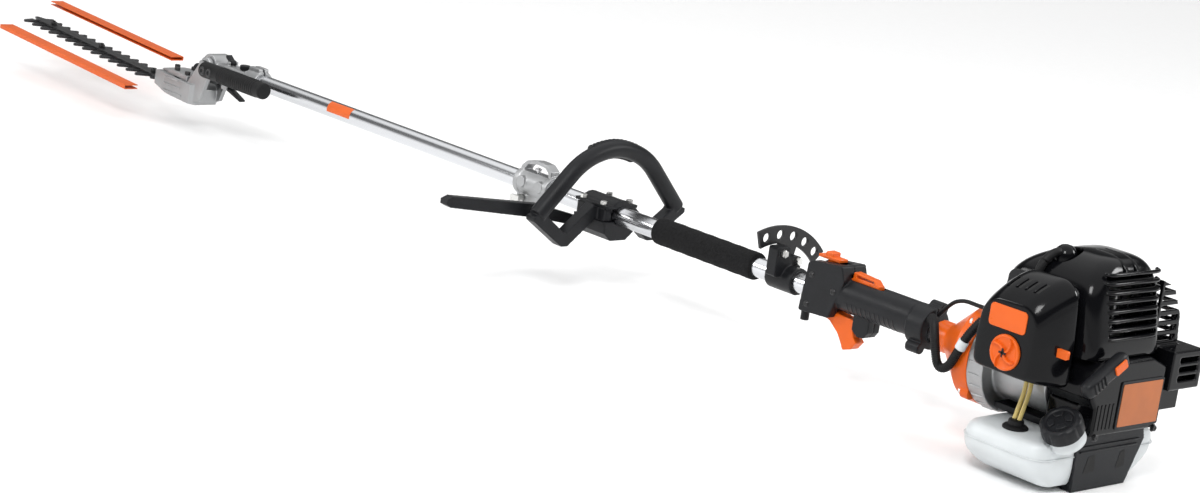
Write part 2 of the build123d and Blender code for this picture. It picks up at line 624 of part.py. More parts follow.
def piston():
    return rod_z(64, 90, BORE_R - FIT) - rod_z(63, 84, 18)


def spark_plug():
    return rod_z(101, 112, 6.0, 14, -14) + hex_z(118, 124, 18, 14, -14) + rod_z(112, 118, 6.0, 14,
        -14) + rod_z(124, 138, 5, 14, -14)


def plug_boot():
    boot = rod_z(121, 138, 14, 14, -14) + Pos(14, -14, 138) * Sphere(14)
    return boot - rod_z(120, 138.2, 10.6, 14, -14)


SHROUD_TOP = 155.0


def engine_shroud():
    """Cover over the cylinder: louvred at the back, open below and on the carburettor's side."""
    side = [(-44, 62), (-44, 110), (-16, 140), (24, SHROUD_TOP), (62, SHROUD_TOP - 2), (82, 142),
            (100, 54), (98, 46),
            (-36, 46), (-36, 62)]
    section = [(-50, 40), (-50, 108), (-40, 130), (-10, 148), (24, SHROUD_TOP + 1), (50, SHROUD_TOP),
               (73, 143),
               (82, 118), (82, 40)]
    shell = extrude_y(side, -50, 82) & extrude_x(section, -70, 110)
    hollow_side = [(-40.5, 30), (-40.5, 109), (-14, 136), (24, 152), (60, 150), (78, 139), (95, 54),
                   (95, 30)]
    hollow_section = [(-46, 30), (-46, 107), (-37, 127), (-8, 144), (24, 152.5), (48, 152), (70, 140),
                      (78, 117), (78, 30)]
    shell = shell - (extrude_y(hollow_side, -60, 90) & extrude_x(hollow_section, -70, 110))
    for i in range(8):
        z = 62 + i * 10.5
        shell = shell - block(74, 110, -24, 70, z, z + 5)
    shell = shell - rod_z(120, 170, 16, 14, -14) - block(-26, 38, -60, -44, 40, 96)
    return shell - block(-45, 52, 70, 90, 40, 118)


def carburettor():
    body = block(-18, 30, -52, -37.2, 46, 88, 3, Axis.Y)
    return body - rod_y(-53, -37, 8, 0, 66)


def air_cleaner_base():
    plate = block(-26, 70, -58, -52.2, 12, 122, 10, Axis.Y)
    return plate - rod_y(-60, -50, 9, 0, 66)


CLEANER_FRONT_Y = -108.0
KNOB_X = 26.0
KNOB_Z = 41.0


def air_cleaner_cover():
    """Deep cover with a flat front, a sloping vented top and sides that lean in."""
    back = [(-32, 10), (-20, 98), (-4, 120), (20, 131), (60, 131), (74, 118), (80, 12)]
    side = [(-58.4, 0), (-58.4, 136), (-74, 131), (-98, 110), (-106, 102), (CLEANER_FRONT_Y, 94),
            (CLEANER_FRONT_Y, 20), (-104, 12), (-96, 0)]
    plan = [(-34, -58), (82, -58), (76, -80), (64, -104), (58, CLEANER_FRONT_Y), (-12, CLEANER_FRONT_Y),
            (-22, -102), (-32, -78)]
    shell = extrude_y(back, CLEANER_FRONT_Y, -58.4) & extrude_x(side, -60, 100) & extrude_z(plan, -10, 150)
    inside_scale = 0.94
    centre = (22, -56, 66)
    hollow = Pos(*centre) * scale(Pos(-centre[0], -centre[1], -centre[2]) * shell, by=inside_scale)
    shell = shell - hollow - block(60, 90, -86, -74, 40, 66)
    return shell - rod_y(-112, -90, 4.0 + FIT, KNOB_X, KNOB_Z)


def cleaner_knob():
    knob = rod_y(-120, CLEANER_FRONT_Y - 0.3, 20.5, KNOB_X, KNOB_Z)
    knob = fillet(knob.edges(), 1.5)
    return knob + rod_y(CLEANER_FRONT_Y - 1, -62, 4.0, KNOB_X, KNOB_Z)


def choke_lever():
    arm = block(58, 90, -82, -78, 48, 58, 2, Axis.Y)
    return arm + rod_y(-84, -76, 6, 62, 53) - rod_y(-85, -75, 2.5 + FIT, 62, 53)


def choke_post():
    return rod_y(-88, -58, 2.5, 62, 53)


def muffler():
    body = block(-36, 46, 52, 96, 48, 112, 8, Axis.X)
    flange = rod_y(37.2, 53, 13, 0, 70) - rod_y(36, 54, 8, 0, 70)
    return body + flange


def muffler_guard():
    """Slatted guard round the muffler, with the slotted outlet box behind it."""
    guard = extrude_x([(84, 44), (134, 44), (128, 84), (108, 118), (84, 127)], -42, 84)
    guard = guard - extrude_x([(70, 40), (130, 40), (124, 83), (105, 115), (70, 124)], -38, 80)
    for i in range(6):
        z = 54 + i * 12
        guard = guard - block(-32, 74, 90, 140, z, z + 6) - block(70, 90, 88, 124, z, z + 6)
    box = block(60, 110, 93, 152, 2, 48) - block(50, 107, 96, 149, 5, 45)
    for i in range(3):
        z = 12 + i * 11
        box = box - block(100, 112, 108, 144, z, z + 6)
    bridge = block(60, 84, 93, 132, 44, 48)
    foot = block(60, 96, 93, 136, -26, 2)
    return guard + box + bridge + foot


def starter_housing():
    """Recoil starter cover on the back of the crankcase."""
    outline = [(-34, -42), (-36, -8), (-46, 4), (-46, 34), (-34, 44), (60, 44), (90, 32), (90, -36),
               (82, -42)]
    body = extrude_x(outline, 40.4, 106)
    body = fillet(body.edges().group_by(Axis.X)[-1], 4)
    body = body - rod_x(44, 84, 36) - rod_x(39, 50, 20)
    return body - rod_x(60, 107, 3.0, *STARTER_GRIP) + rod_x(74, 85, 5)


def starter_pulley():
    pulley = rod_x(48, 72, PULLEY_R) - rod_x(54, 66, 34) + rod_x(54, 66, PULLEY_R - 5)
    return pulley - rod_x(66.5, 75, 5.0 + FIT) - rod_x(40, 68, 6.6)




def starter_handle():
    y, z = STARTER_GRIP
    bar = fillet(block(107, 125, -36, 36, -10, 10).edges().filter_by(Axis.Y), 6)
    return Pos(0, y - 5, z + 8) * Rot(34, 0, 0) * bar


def starter_rope():
    y, z = STARTER_GRIP
    return rod_x(86, 107, 1.8, y, z)


TANK_BOTTOM = -106.0
TANK_TOP = -50.5
CAP_BASE = (90.0, -60.0, -40.0)
CAP_TILT = 38.0


def fuel_tank():
    """Blow-moulded tank under the crankcase, wider than the stand on both sides."""
    tank = block(-32, 92, -98, 130, TANK_BOTTOM, TANK_TOP)
    tank = fillet(tank.edges().filter_by(Axis.Z), 20)
    tank = tank & fillet(block(-40, 100, -98, 130, TANK_BOTTOM, TANK_TOP).edges().filter_by(Axis.X), 20)
    tank = tank - block(74, 100, -36, 96, -120, -40)
    neck = Pos(*CAP_BASE) * Rot(CAP_TILT, 0, 0) * rod_z(-10, 6, 19)
    seat = block(60, 106, -84, -40, -84, -52, 10, Axis.Z)
    return tank + seat + neck


def fuel_cap():
    cap = rod_z(6.4, 24, 24) - rod_z(6, 20, 20.5)
    for i in range(8):
        cap = cap - Rot(0, 0, i * 45) * rod_z(6, 26, 4, 27)
    return Pos(*CAP_BASE) * Rot(CAP_TILT, 0, 0) * cap


def fuel_lines():
    """Rubber grommet in the tank's top, and the feed and return lines up to the carburettor."""
    solids = [rod_z(TANK_TOP, TANK_TOP + 9, 11, 26, -66)]
    for dx in (-3.5, 3.5):
        route = [(26 + dx, -66, TANK_TOP + 9), (26 + dx, -60, -22), (22 + dx, -46, 10), (16 + dx, -44, 45)]
        solids.append(along(route, [18, 40], 2.6))
    return Compound(solids)


def engine_stand():
    """Moulded stand: skid under the tank, rear wall, and the frame under the crankcase."""
    wall = extrude_x([(-34, -42.4), (-34, -60), (-30, -AXIS_HEIGHT), (70, -AXIS_HEIGHT), (94, -60),
                      (88, -42.4)], 74.4, 90)
    skid = block(-20, 80, -28, 68, -AXIS_HEIGHT, TANK_BOTTOM - 0.2)
    frame = block(-36, 90, -30, 30, TANK_TOP + 0.2, -42.4)
    return wall + skid + frame


# ---- write every sub-part ----
head_parts = {
    "gear_case": gear_case(),
    "gear_case_cover": gear_case_cover(),
    "blade_guide_bar": guide_bar(),
    "blade_bolts": blade_bolts(),
    "upper_blade": blade(lower=False),
    "lower_blade": blade(lower=True),
    "crank_gear": crank_gear(),
    "index_plunger": index_plunger(),
    "blade_cover_left": blade_cover(*LEFT_COVER, -1),
    "blade_cover_right": blade_cover(*RIGHT_COVER, 1),
}
for node, shape in head_parts.items():
    save_head(node, shape)

pivot = pivot_housing() + lock_lever_pin() + release_lever_pin()

right_shell = handle_shell(1)
for pin in handle_pins():
    right_shell = right_shell + pin

shaft_parts = {
    "upper_tube": upper_tube(),
    "pivot_housing": pivot,
    "tilt_handle": tilt_handle(),
    "upper_drive_shaft": upper_drive_shaft(),
    "tilt_release_lever": tilt_release_lever(),
    "tilt_lock_lever": tilt_lock_lever(),
    "collar_knob": collar_knob(),
    "coupler_body": coupler_body(),
    "coupler_knob": coupler_knob(),
    "coupler_lock_pin": coupler_lock_pin(),
    "lower_tube": tube_x(LOWER_TUBE_X0, LOWER_TUBE_X1, TUBE_R, TUBE_WALL),
    "lower_drive_shaft": lower_drive_shaft(),
    "loop_handle": loop_handle(),
    "loop_clamp_upper": loop_clamp_upper(),
    "loop_clamp_lower": loop_clamp_lower(),
    "barrier_bar": barrier_bar(),
    "clamp_bolts": clamp_bolts(),
    "foam_grip": foam_grip(),
    "strap_clamp": strap_clamp(),
    "strap_hook_plate": strap_hook_plate(),
    "handle_left_shell": handle_shell(-1),
    "handle_right_shell": right_shell,
    "trigger": trigger(),
    "lockout_lever": lockout_lever(),
    "stop_switch": stop_switch(),
    "control_cables": control_cables(),
}
engine_parts = {
    "clutch_housing": clutch_housing(),
    "crankcase": crankcase(),
    "crankshaft": crankshaft(),
    "flywheel": flywheel(),
    "cylinder": cylinder(),
    "piston": piston(),
    "spark_plug": spark_plug(),
    "plug_boot": plug_boot(),
    "engine_shroud": engine_shroud(),
    "carburettor": carburettor(),
    "air_cleaner_base": air_cleaner_base() + choke_post(),
    "air_cleaner_cover": air_cleaner_cover(),
    "cleaner_knob": cleaner_knob(),
    "choke_lever": choke_lever(),
    "muffler": muffler(),
    "muffler_guard": muffler_guard(),
    "starter_housing": starter_housing(),
    "starter_pulley": starter_pulley(),
    "starter_handle": starter_handle(),
    "starter_rope": starter_rope(),
    "fuel_tank": fuel_tank(),
    "fuel_cap": fuel_cap(),
    "fuel_lines": fuel_lines(),
    "engine_stand": engine_stand(),
}
for group in (shaft_parts, engine_parts):
    for node, shape in group.items():
        save(node, shape)
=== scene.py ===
import json
import math

import bmesh
import bpy
from mathutils import Matrix, Vector


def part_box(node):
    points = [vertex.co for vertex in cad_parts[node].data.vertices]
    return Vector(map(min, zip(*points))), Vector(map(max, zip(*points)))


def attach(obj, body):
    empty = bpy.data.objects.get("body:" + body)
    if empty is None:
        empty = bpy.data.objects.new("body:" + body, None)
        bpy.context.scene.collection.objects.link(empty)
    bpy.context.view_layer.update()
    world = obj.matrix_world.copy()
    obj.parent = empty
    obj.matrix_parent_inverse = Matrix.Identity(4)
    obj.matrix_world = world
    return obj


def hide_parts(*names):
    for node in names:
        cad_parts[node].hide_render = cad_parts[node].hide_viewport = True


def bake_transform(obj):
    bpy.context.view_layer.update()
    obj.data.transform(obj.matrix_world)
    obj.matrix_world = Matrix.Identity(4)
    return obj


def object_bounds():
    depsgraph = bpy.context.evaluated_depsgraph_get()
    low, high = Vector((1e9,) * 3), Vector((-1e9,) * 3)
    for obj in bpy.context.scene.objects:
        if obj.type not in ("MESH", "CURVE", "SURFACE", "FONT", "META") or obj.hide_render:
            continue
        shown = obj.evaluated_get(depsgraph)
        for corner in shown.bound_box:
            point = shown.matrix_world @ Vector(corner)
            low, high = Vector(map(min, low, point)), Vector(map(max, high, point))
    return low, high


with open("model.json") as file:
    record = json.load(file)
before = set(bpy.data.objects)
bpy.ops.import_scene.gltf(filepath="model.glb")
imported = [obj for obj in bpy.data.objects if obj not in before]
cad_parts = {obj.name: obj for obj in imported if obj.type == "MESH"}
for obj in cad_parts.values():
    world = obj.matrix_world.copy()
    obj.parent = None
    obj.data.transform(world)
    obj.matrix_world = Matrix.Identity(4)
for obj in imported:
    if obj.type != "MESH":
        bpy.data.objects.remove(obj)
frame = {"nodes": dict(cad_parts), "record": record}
cad_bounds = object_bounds()

MM = 0.001
PI = math.pi


class NodeBox:
    """A CAD node's box in millimetres, with z counted from the shaft's axis."""

    def __init__(self, node):
        low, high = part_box(node)
        self.x0, self.y0, self.z0 = (low[i] / MM for i in range(3))
        self.x1, self.y1, self.z1 = (high[i] / MM for i in range(3))
        self.z0 -= AXIS
        self.z1 -= AXIS
        self.x, self.y, self.z = (self.x0 + self.x1) / 2, (self.y0 + self.y1) / 2, (self.z0 + self.z1) / 2


tube_low, tube_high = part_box("lower_tube")
AXIS = (tube_low[2] + tube_high[2]) / 2 / MM          # height of the shaft's axis, mm
TUBE_R = (tube_high[2] - tube_low[2]) / 2 / MM


def joint(name):
    return next(j for j in frame["record"]["behaviour"]["joints"] if j["name"] == name)


PIVOT = [c / MM for c in joint("head_tilt")["pos_m"]]


def place(point):
    """Millimetres about the shaft's axis to metres in the row frame."""
    return Vector((point[0] * MM, point[1] * MM, (point[2] + AXIS) * MM))


# ---- materials ----
def material(name, color, rough, metallic=0.0, mottle=0.06, mottle_scale=40.0, grain=0.06, grain_scale=900.0,
             rough_spread=0.12, coat=0.0, stretch=(1, 1, 1), transmission=0.0, dust=0.0, ior=1.5,
             distance=0.0004, specular=0.5):
    """Principled finish with mottled colour, uneven gloss and a fine grain in the bump."""
    mat = bpy.data.materials.new(name)
    mat.use_nodes = True
    nodes, links = mat.node_tree.nodes, mat.node_tree.links
    bsdf = nodes["Principled BSDF"]
    coords = nodes.new("ShaderNodeTexCoord")
    mapping = nodes.new("ShaderNodeMapping")
    mapping.inputs["Scale"].default_value = stretch
    links.new(coords.outputs["Object"], mapping.inputs["Vector"])
    broad = nodes.new("ShaderNodeTexNoise")
    broad.inputs["Scale"].default_value = mottle_scale
    broad.inputs["Detail"].default_value = 5
    fine = nodes.new("ShaderNodeTexNoise")
    fine.inputs["Scale"].default_value = grain_scale
    fine.inputs["Detail"].default_value = 3
    for noise in (broad, fine):
        links.new(mapping.outputs["Vector"], noise.inputs["Vector"])
    ramp = nodes.new("ShaderNodeValToRGB")
    ramp.color_ramp.elements[0].position, ramp.color_ramp.elements[1].position = 0.3, 0.72
    ramp.color_ramp.elements[0].color = [c * (1 - mottle) for c in color] + [1]
    ramp.color_ramp.elements[1].color = [min(1, c * (1 + mottle)) for c in color] + [1]
    links.new(broad.outputs["Fac"], ramp.inputs["Fac"])
    colour_out = ramp.outputs["Color"]
    if dust > 0:
        edge = nodes.new("ShaderNodeNewGeometry")
        wear = nodes.new("ShaderNodeMapRange")
        wear.inputs["From Min"].default_value, wear.inputs["From Max"].default_value = 0.52, 0.62
        wear.inputs["To Max"].default_value = dust
        mix = nodes.new("ShaderNodeMix")
        mix.data_type = "RGBA"
        mix.inputs[7].default_value = [min(1, c * 1.6 + 0.08) for c in color] + [1]
        links.new(edge.outputs["Pointiness"], wear.inputs["Value"])
        links.new(wear.outputs["Result"], mix.inputs[0])
        links.new(colour_out, mix.inputs[6])
        colour_out = mix.outputs[2]
    links.new(colour_out, bsdf.inputs["Base Color"])
    spread = nodes.new("ShaderNodeMapRange")
    spread.inputs["To Min"].default_value = max(0.02, rough - rough_spread)
    spread.inputs["To Max"].default_value = min(1.0, rough + rough_spread)
    links.new(broad.outputs["Fac"], spread.inputs["Value"])
    links.new(spread.outputs["Result"], bsdf.inputs["Roughness"])
    bump = nodes.new("ShaderNodeBump")
    bump.inputs["Strength"].default_value = grain
    bump.inputs["Distance"].default_value = distance
    links.new(fine.outputs["Fac"], bump.inputs["Height"])
    links.new(bump.outputs["Normal"], bsdf.inputs["Normal"])
    bsdf.inputs["Metallic"].default_value = metallic
    bsdf.inputs["Coat Weight"].default_value = coat
    bsdf.inputs["Coat Roughness"].default_value = 0.06
    bsdf.inputs["IOR"].default_value = ior
    bsdf.inputs["Specular IOR Level"].default_value = specular
    bsdf.inputs["Transmission Weight"].default_value = transmission
    return mat


ORANGE = material("orange_plastic", (0.64, 0.10, 0.006), 0.34, mottle=0.05, grain=0.10, coat=0.06, dust=0.12,
                  specular=0.25)
COVER_ORANGE = material("cover_orange", (0.60, 0.105, 0.018), 0.42, mottle=0.06, grain=0.12, grain_scale=500,
                        specular=0.25)
SATIN = material("satin_black", (0.0085, 0.009, 0.0105), 0.40, mottle=0.2, grain=0.35, grain_scale=1400,
                 dust=0.04,
                 specular=0.20)
GLOSS = material("gloss_black", (0.0030, 0.0031, 0.0038), 0.13, mottle=0.10, grain=0.02, grain_scale=300,
                 rough_spread=0.04, specular=0.16)
STAND = material("stand_black", (0.0065, 0.0075, 0.0095), 0.36, mottle=0.15, grain=0.30, grain_scale=1300,
                 dust=0.04,
                 specular=0.18)
TUBE = material("tube_aluminium", (0.62, 0.63, 0.65), 0.20, metallic=1.0, mottle=0.03, grain=0.05,
                grain_scale=160,
                stretch=(0.03, 1, 1), rough_spread=0.05)
CAST = material("cast_aluminium", (0.36, 0.365, 0.37), 0.44, metallic=0.9, mottle=0.10, grain=0.45,
                grain_scale=650,
                dust=0.25)
STEEL = material("machined_steel", (0.55, 0.55, 0.56), 0.28, metallic=1.0, mottle=0.06, grain=0.10,
                 stretch=(0.2, 1, 1))
BLADE = material("blade_steel", (0.022, 0.022, 0.024), 0.34, metallic=0.7, mottle=0.25, mottle_scale=60,
                 grain=0.20,
                 grain_scale=420, stretch=(1, 0.12, 1), dust=0.7)
BLACK_STEEL = material("black_steel", (0.012, 0.012, 0.013), 0.36, metallic=0.3, grain=0.20, dust=0.2,
                       specular=0.35)
RUBBER = material("rubber_black", (0.007, 0.007, 0.0075), 0.50, mottle=0.2, grain=0.45, grain_scale=700,
                  specular=0.2)
FOAM = material("foam_black", (0.010, 0.010, 0.0105), 0.92, mottle=0.5, mottle_scale=420, grain=1.0,
                grain_scale=900,
                distance=0.0012, specular=0.15)
TANK = material("tank_milky", (0.58, 0.61, 0.62), 0.34, mottle=0.06, mottle_scale=22, grain=0.12,
                grain_scale=260,
                specular=0.35)
HOSE = material("fuel_hose", (0.78, 0.62, 0.22), 0.35, mottle=0.10, grain=0.08, transmission=0.25)
ZINC = material("zinc_plated", (0.62, 0.62, 0.60), 0.30, metallic=1.0, mottle=0.12, grain=0.15, dust=0.2)
DARK_BOLT = material("dark_bolt", (0.025, 0.025, 0.026), 0.34, metallic=0.8, mottle=0.2, grain=0.2, dust=0.4)
BRASS = material("carb_body", (0.50, 0.46, 0.38), 0.40, metallic=1.0, grain=0.3)
ROPE = material("rope", (0.74, 0.73, 0.70), 0.80, mottle=0.25, mottle_scale=900, grain=0.8)
LABEL = material("label_copper", (0.40, 0.125, 0.042), 0.42, metallic=0.25, mottle=0.08, grain=0.10,
                 grain_scale=500,
                 specular=0.3)
# near-black finish for pieces that stand in for the shade inside slots, recesses and pockets: painted shade
RECESS_SHADE = material("painted_recess_shade", (0.006, 0.006, 0.006), 0.8, grain=0.3)

SLOT_FINISH = {
    "orange_plastic": ORANGE, "satin_black": SATIN, "gloss_black": GLOSS, "tube_aluminium": TUBE,
    "cast_aluminium": CAST, "steel": STEEL, "blade_steel": BLADE, "black_steel": BLACK_STEEL,
    "rubber_black": RUBBER, "foam_black": FOAM, "tank_milky": TANK, "fuel_hose": HOSE, "zinc": ZINC,
    "carb_brass": BRASS, "rope": ROPE,
}
NODE_FINISH = {"engine_stand": STAND, "blade_cover_left": COVER_ORANGE, "blade_cover_right": COVER_ORANGE}
node_slot = {part["node"]: part["material_slot"] for part in frame["record"]["subparts"]}
for node, obj in frame["nodes"].items():
    finish = NODE_FINISH.get(node, SLOT_FINISH[node_slot[node]])
    obj.data.materials.clear()
    obj.data.materials.append(finish)

node_body = {n: b for b, members in frame["record"]["behaviour"]["bodies"].items() for n in members}


# ---- mesh building ----
def finish_piece(name, bm, body, mat, smooth_angle=35, bevel=0.0, segments=2, subsurf=0, replaces=()):
    """Turns a bmesh drawn in millimetres about the shaft's axis into a piece that rides on a body."""
    bmesh.ops.recalc_face_normals(bm, faces=bm.faces)
    mesh = bpy.data.meshes.new(name)
    bm.to_mesh(mesh)
    bm.free()
    mesh.transform(Matrix.Translation((0, 0, AXIS * MM)) @ Matrix.Scale(MM, 4))
    obj = bpy.data.objects.new(name, mesh)
    bpy.context.scene.collection.objects.link(obj)
    mesh.materials.append(mat)
    mesh.shade_smooth()
    if bevel > 0:
        mod = obj.modifiers.new("round", "BEVEL")
        mod.width, mod.segments, mod.limit_method, mod.angle_limit = bevel * MM, segments, "ANGLE", math.radians(30)
        mod.harden_normals = False
    if subsurf:
        mod = obj.modifiers.new("subdivide", "SUBSURF")
        mod.levels = mod.render_levels = subsurf
    else:
        mesh.set_sharp_from_angle(angle=math.radians(smooth_angle))
    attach(obj, body)
    if replaces:
        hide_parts(*replaces)
    return obj


def add_loft(bm, rings, cap=True):
    """Skin through rings of points that all have the same count."""
    rows = [[bm.verts.new(p) for p in ring] for ring in rings]
    n = len(rows[0])
    for a, b in zip(rows, rows[1:]):
        for i in range(n):
            bm.faces.new((a[i], a[(i + 1) % n], b[(i + 1) % n], b[i]))
    if cap:
        bm.faces.new(list(reversed(rows[0])))
        bm.faces.new(rows[-1])


def add_prism(bm, outline, axis, low, high):
    """Outline in the two axes other than the named one, extruded between low and high."""
    order = {"x": lambda u, v, w: (w, u, v), "y": lambda u, v, w: (u, w, v), "z": lambda u, v,
             w: (u, v, w)}[axis]
    add_loft(bm, [[order(u, v, w) for u, v in outline] for w in (low, high)])


def add_box(bm, x0, x1, y0, y1, z0, z1):
    add_prism(bm, [(x0, y0), (x1, y0), (x1, y1), (x0, y1)], "z", z0, z1)


def add_lathe(bm, profile, origin, direction, steps=40):
    """Profile of (distance along, radius) turned about a line."""
    w = Vector(direction).normalized()
    u = w.orthogonal().normalized()
    v = w.cross(u)
    base = Vector(origin)
    rings = []
    for along, radius in profile:
        r = max(radius, 0.01)
        rings.append([base + w * along + (u * math.cos(2 * PI * i / steps) + v *
                                          math.sin(2 * PI * i / steps)) * r
                      for i in range(steps)])
    add_loft(bm, rings)


def rounded(x0, x1, y0, y1, r, steps=5):
    """Rectangle with round corners, as a list of points."""
    points = []
    for cx, cy, start in ((x1 - r, y1 - r, 0), (x0 + r, y1 - r, 90), (x0 + r, y0 + r, 180),
                          (x1 - r, y0 + r, 270)):
        for i in range(steps + 1):
            a = math.radians(start + 90 * i / steps)
            points.append((cx + r * math.cos(a), cy + r * math.sin(a)))
    return points


def round_corners(points, radii, steps=5):
    """Polygon with each corner replaced by an arc of its own radius."""
    out = []
    n = len(points)
    for i in range(n):
        p, a, b = Vector(points[i]), Vector(points[i - 1]), Vector(points[(i + 1) % n])
        r = radii[i] if isinstance(radii, (list, tuple)) else radii
        u, v = (a - p).normalized(), (b - p).normalized()
        half = max(1e-3, u.angle(v) / 2)
        back = min(r / math.tan(half), 0.49 * (a - p).length, 0.49 * (b - p).length)
        start, end = p + u * back, p + v * back
        for k in range(steps + 1):
            t = k / steps
            out.append(tuple((1 - t) ** 2 * start + 2 * t * (1 - t) * p + t ** 2 * end))
    return out


def shrink(points, centre, factor):
    return [(centre[0] + (x - centre[0]) * factor, centre[1] + (y - centre[1]) * factor) for x, y in points]


def add_tube(bm, points, radius, steps=16):
    """Round bar through points; radius is a number or one for each point."""
    pts = [Vector(p) for p in points]
    rings = []
    up = Vector((0.12, 0.35, 0.93))
    for i, p in enumerate(pts):
        tangent = (pts[min(i + 1, len(pts) - 1)] - pts[max(i - 1, 0)]).normalized()
        u = up.cross(tangent)
        if u.length < 0.2:
            u = Vector((1, 0, 0)).cross(tangent)
        u.normalize()
        v = tangent.cross(u)
        r = radius[i] if isinstance(radius, (list, tuple)) else radius
        rings.append([p + (u * math.cos(2 * PI * k / steps) + v * math.sin(2 * PI * k / steps)) * r
                      for k in range(steps)])
    add_loft(bm, rings)


def smooth_path(points, per_span=8):
    """Catmull-Rom curve through points."""
    pts = [Vector(p) for p in points]
    pts = [2 * pts[0] - pts[1]] + pts + [2 * pts[-1] - pts[-2]]
    out = []
    for a, b, c, d in zip(pts, pts[1:], pts[2:], pts[3:]):
        for k in range(per_span):
            t = k / per_span
            out.append(0.5 * ((2 * b) + (c - a) * t + (2 * a - 5 * b + 4 * c - d) * t * t
                              + (3 * b - a - 3 * c + d) * t ** 3))
    out.append(pts[-2])
    return out


def softened(node, mat=None, voxel=1.1, passes=4, keep=0.35):
    """The CAD piece with its edges worn round, as a moulding or casting has them."""
    source = frame["nodes"][node]
    mesh = source.data.copy()
    mesh.name = node + "_soft"
    obj = bpy.data.objects.new(node + "_soft", mesh)
    bpy.context.scene.collection.objects.link(obj)
    for kind, name in (("REMESH", "voxels"), ("SMOOTH", "relax"), ("DECIMATE", "thin")):
        mod = obj.modifiers.new(name, kind)
        if kind == "REMESH":
            mod.mode, mod.voxel_size, mod.use_smooth_shade = "VOXEL", voxel * MM, True
        elif kind == "SMOOTH":
            mod.factor, mod.iterations = 0.5, passes
        else:
            mod.ratio = keep
    bpy.context.view_layer.update()
    baked = bpy.data.meshes.new_from_object(obj.evaluated_get(bpy.context.evaluated_depsgraph_get()))
    obj.modifiers.clear()
    obj.data = baked
    baked.materials.clear()
    baked.materials.append(mat or NODE_FINISH.get(node, SLOT_FINISH[node_slot[node]]))
    baked.shade_smooth()
    baked.set_sharp_from_angle(angle=math.radians(50))
    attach(obj, node_body[node])
    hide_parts(node)
    return obj


def on_surface(obj, start, direction):
    """Where a ray from start first meets the object; all in mm from the shaft's axis."""
    bpy.context.view_layer.update()
    inverse = obj.matrix_world.inverted()
    origin = Vector((start[0], start[1], start[2] + AXIS)) * MM
    hit, point, _, _ = obj.ray_cast(inverse @ origin, inverse.to_3x3() @ Vector(direction))
    assert hit, (obj.name, start)
    return obj.matrix_world @ point / MM - Vector((0, 0, AXIS))


# ---- floor, light and camera ----
def build_stage():
    length = cad_bounds[1][0] - cad_bounds[0][0]
    bm = bmesh.new()
    half = 6 * length
    corners = [bm.verts.new((sx * half, sy * half, 0)) for sx, sy in ((-1, -1), (1, -1), (1, 1), (-1, 1))]
    bm.faces.new(corners)
    mesh = bpy.data.meshes.new("floor")
    bm.to_mesh(mesh)
    bm.free()
    floor = bpy.data.objects.new("floor", mesh)
    bpy.context.scene.collection.objects.link(floor)
    floor.location.z = cad_bounds[0][2] - 0.0005
    mesh.materials.append(material("pale_floor", (0.93, 0.93, 0.93), 0.6, mottle=0.01, grain=0.0))
    bpy.context.scene.view_settings.view_transform = "Standard"
    world = bpy.data.worlds.new("studio")
    bpy.context.scene.world = world
    world.use_nodes = True
    tree = world.node_tree
    coords = tree.nodes.new("ShaderNodeTexCoord")
    split = tree.nodes.new("ShaderNodeSeparateXYZ")
    tree.links.new(coords.outputs["Generated"], split.inputs["Vector"])
    sky = tree.nodes.new("ShaderNodeValToRGB")
    tree.links.new(split.outputs["Z"], sky.inputs["Fac"])
    stops = ((0.0, 1.0), (0.10, 1.0), (0.20, 0.14), (0.52, 0.08), (0.62, 1.3), (1.0, 1.4))
    for i, (where, level) in enumerate(stops):
        stop = sky.color_ramp.elements[i] if i < 2 else sky.color_ramp.elements.new(where)
        stop.position = where
        stop.color = (level, level, level, 1)
    tree.links.new(sky.outputs["Color"], tree.nodes["Background"].inputs["Color"])
    tree.nodes["Background"].inputs["Strength"].default_value = 1.0
    aim = Vector((-0.5, 0, 0.12))
    for name, where, size, power in (("key", (0.9, -2.2, 2.6), 0.9, 60), ("rim", (1.6, 2.2, 1.9), 0.8, 44),
                                     ("front", (-2.6, -2.4, 1.6), 1.0, 34)):
        data = bpy.data.lights.new(name, "AREA")
        data.shape, data.size, data.energy = "SQUARE", size, power
        lamp = bpy.data.objects.new(name, data)
        lamp.location = where
        lamp.rotation_euler = (aim - Vector(where)).to_track_quat("-Z", "Y").to_euler()
        bpy.context.scene.collection.objects.link(lamp)


def build_camera():
    """Three-quarter view from behind the engine, on the operator's left."""
    data = bpy.data.cameras.new("camera")
    data.lens, data.sensor_width, data.sensor_fit = 78.0, 36.0, "HORIZONTAL"
    data.clip_end = 60
    camera = bpy.data.objects.new("camera", data)
    right, up, back = Vector((0.6628, 0.7366, 0.1346)), Vector((-0.2566, 0.0545, 0.9650)), Vector((0.7034,
        -0.6742, 0.2251))
    turn = Matrix((right, up, back)).transposed().to_4x4()
    camera.matrix_world = Matrix.Translation((1.7247, -2.3747, 0.742 + AXIS * MM)) @ turn
    bpy.context.scene.collection.objects.link(camera)
    bpy.context.scene.camera = camera


build_stage()
build_camera()


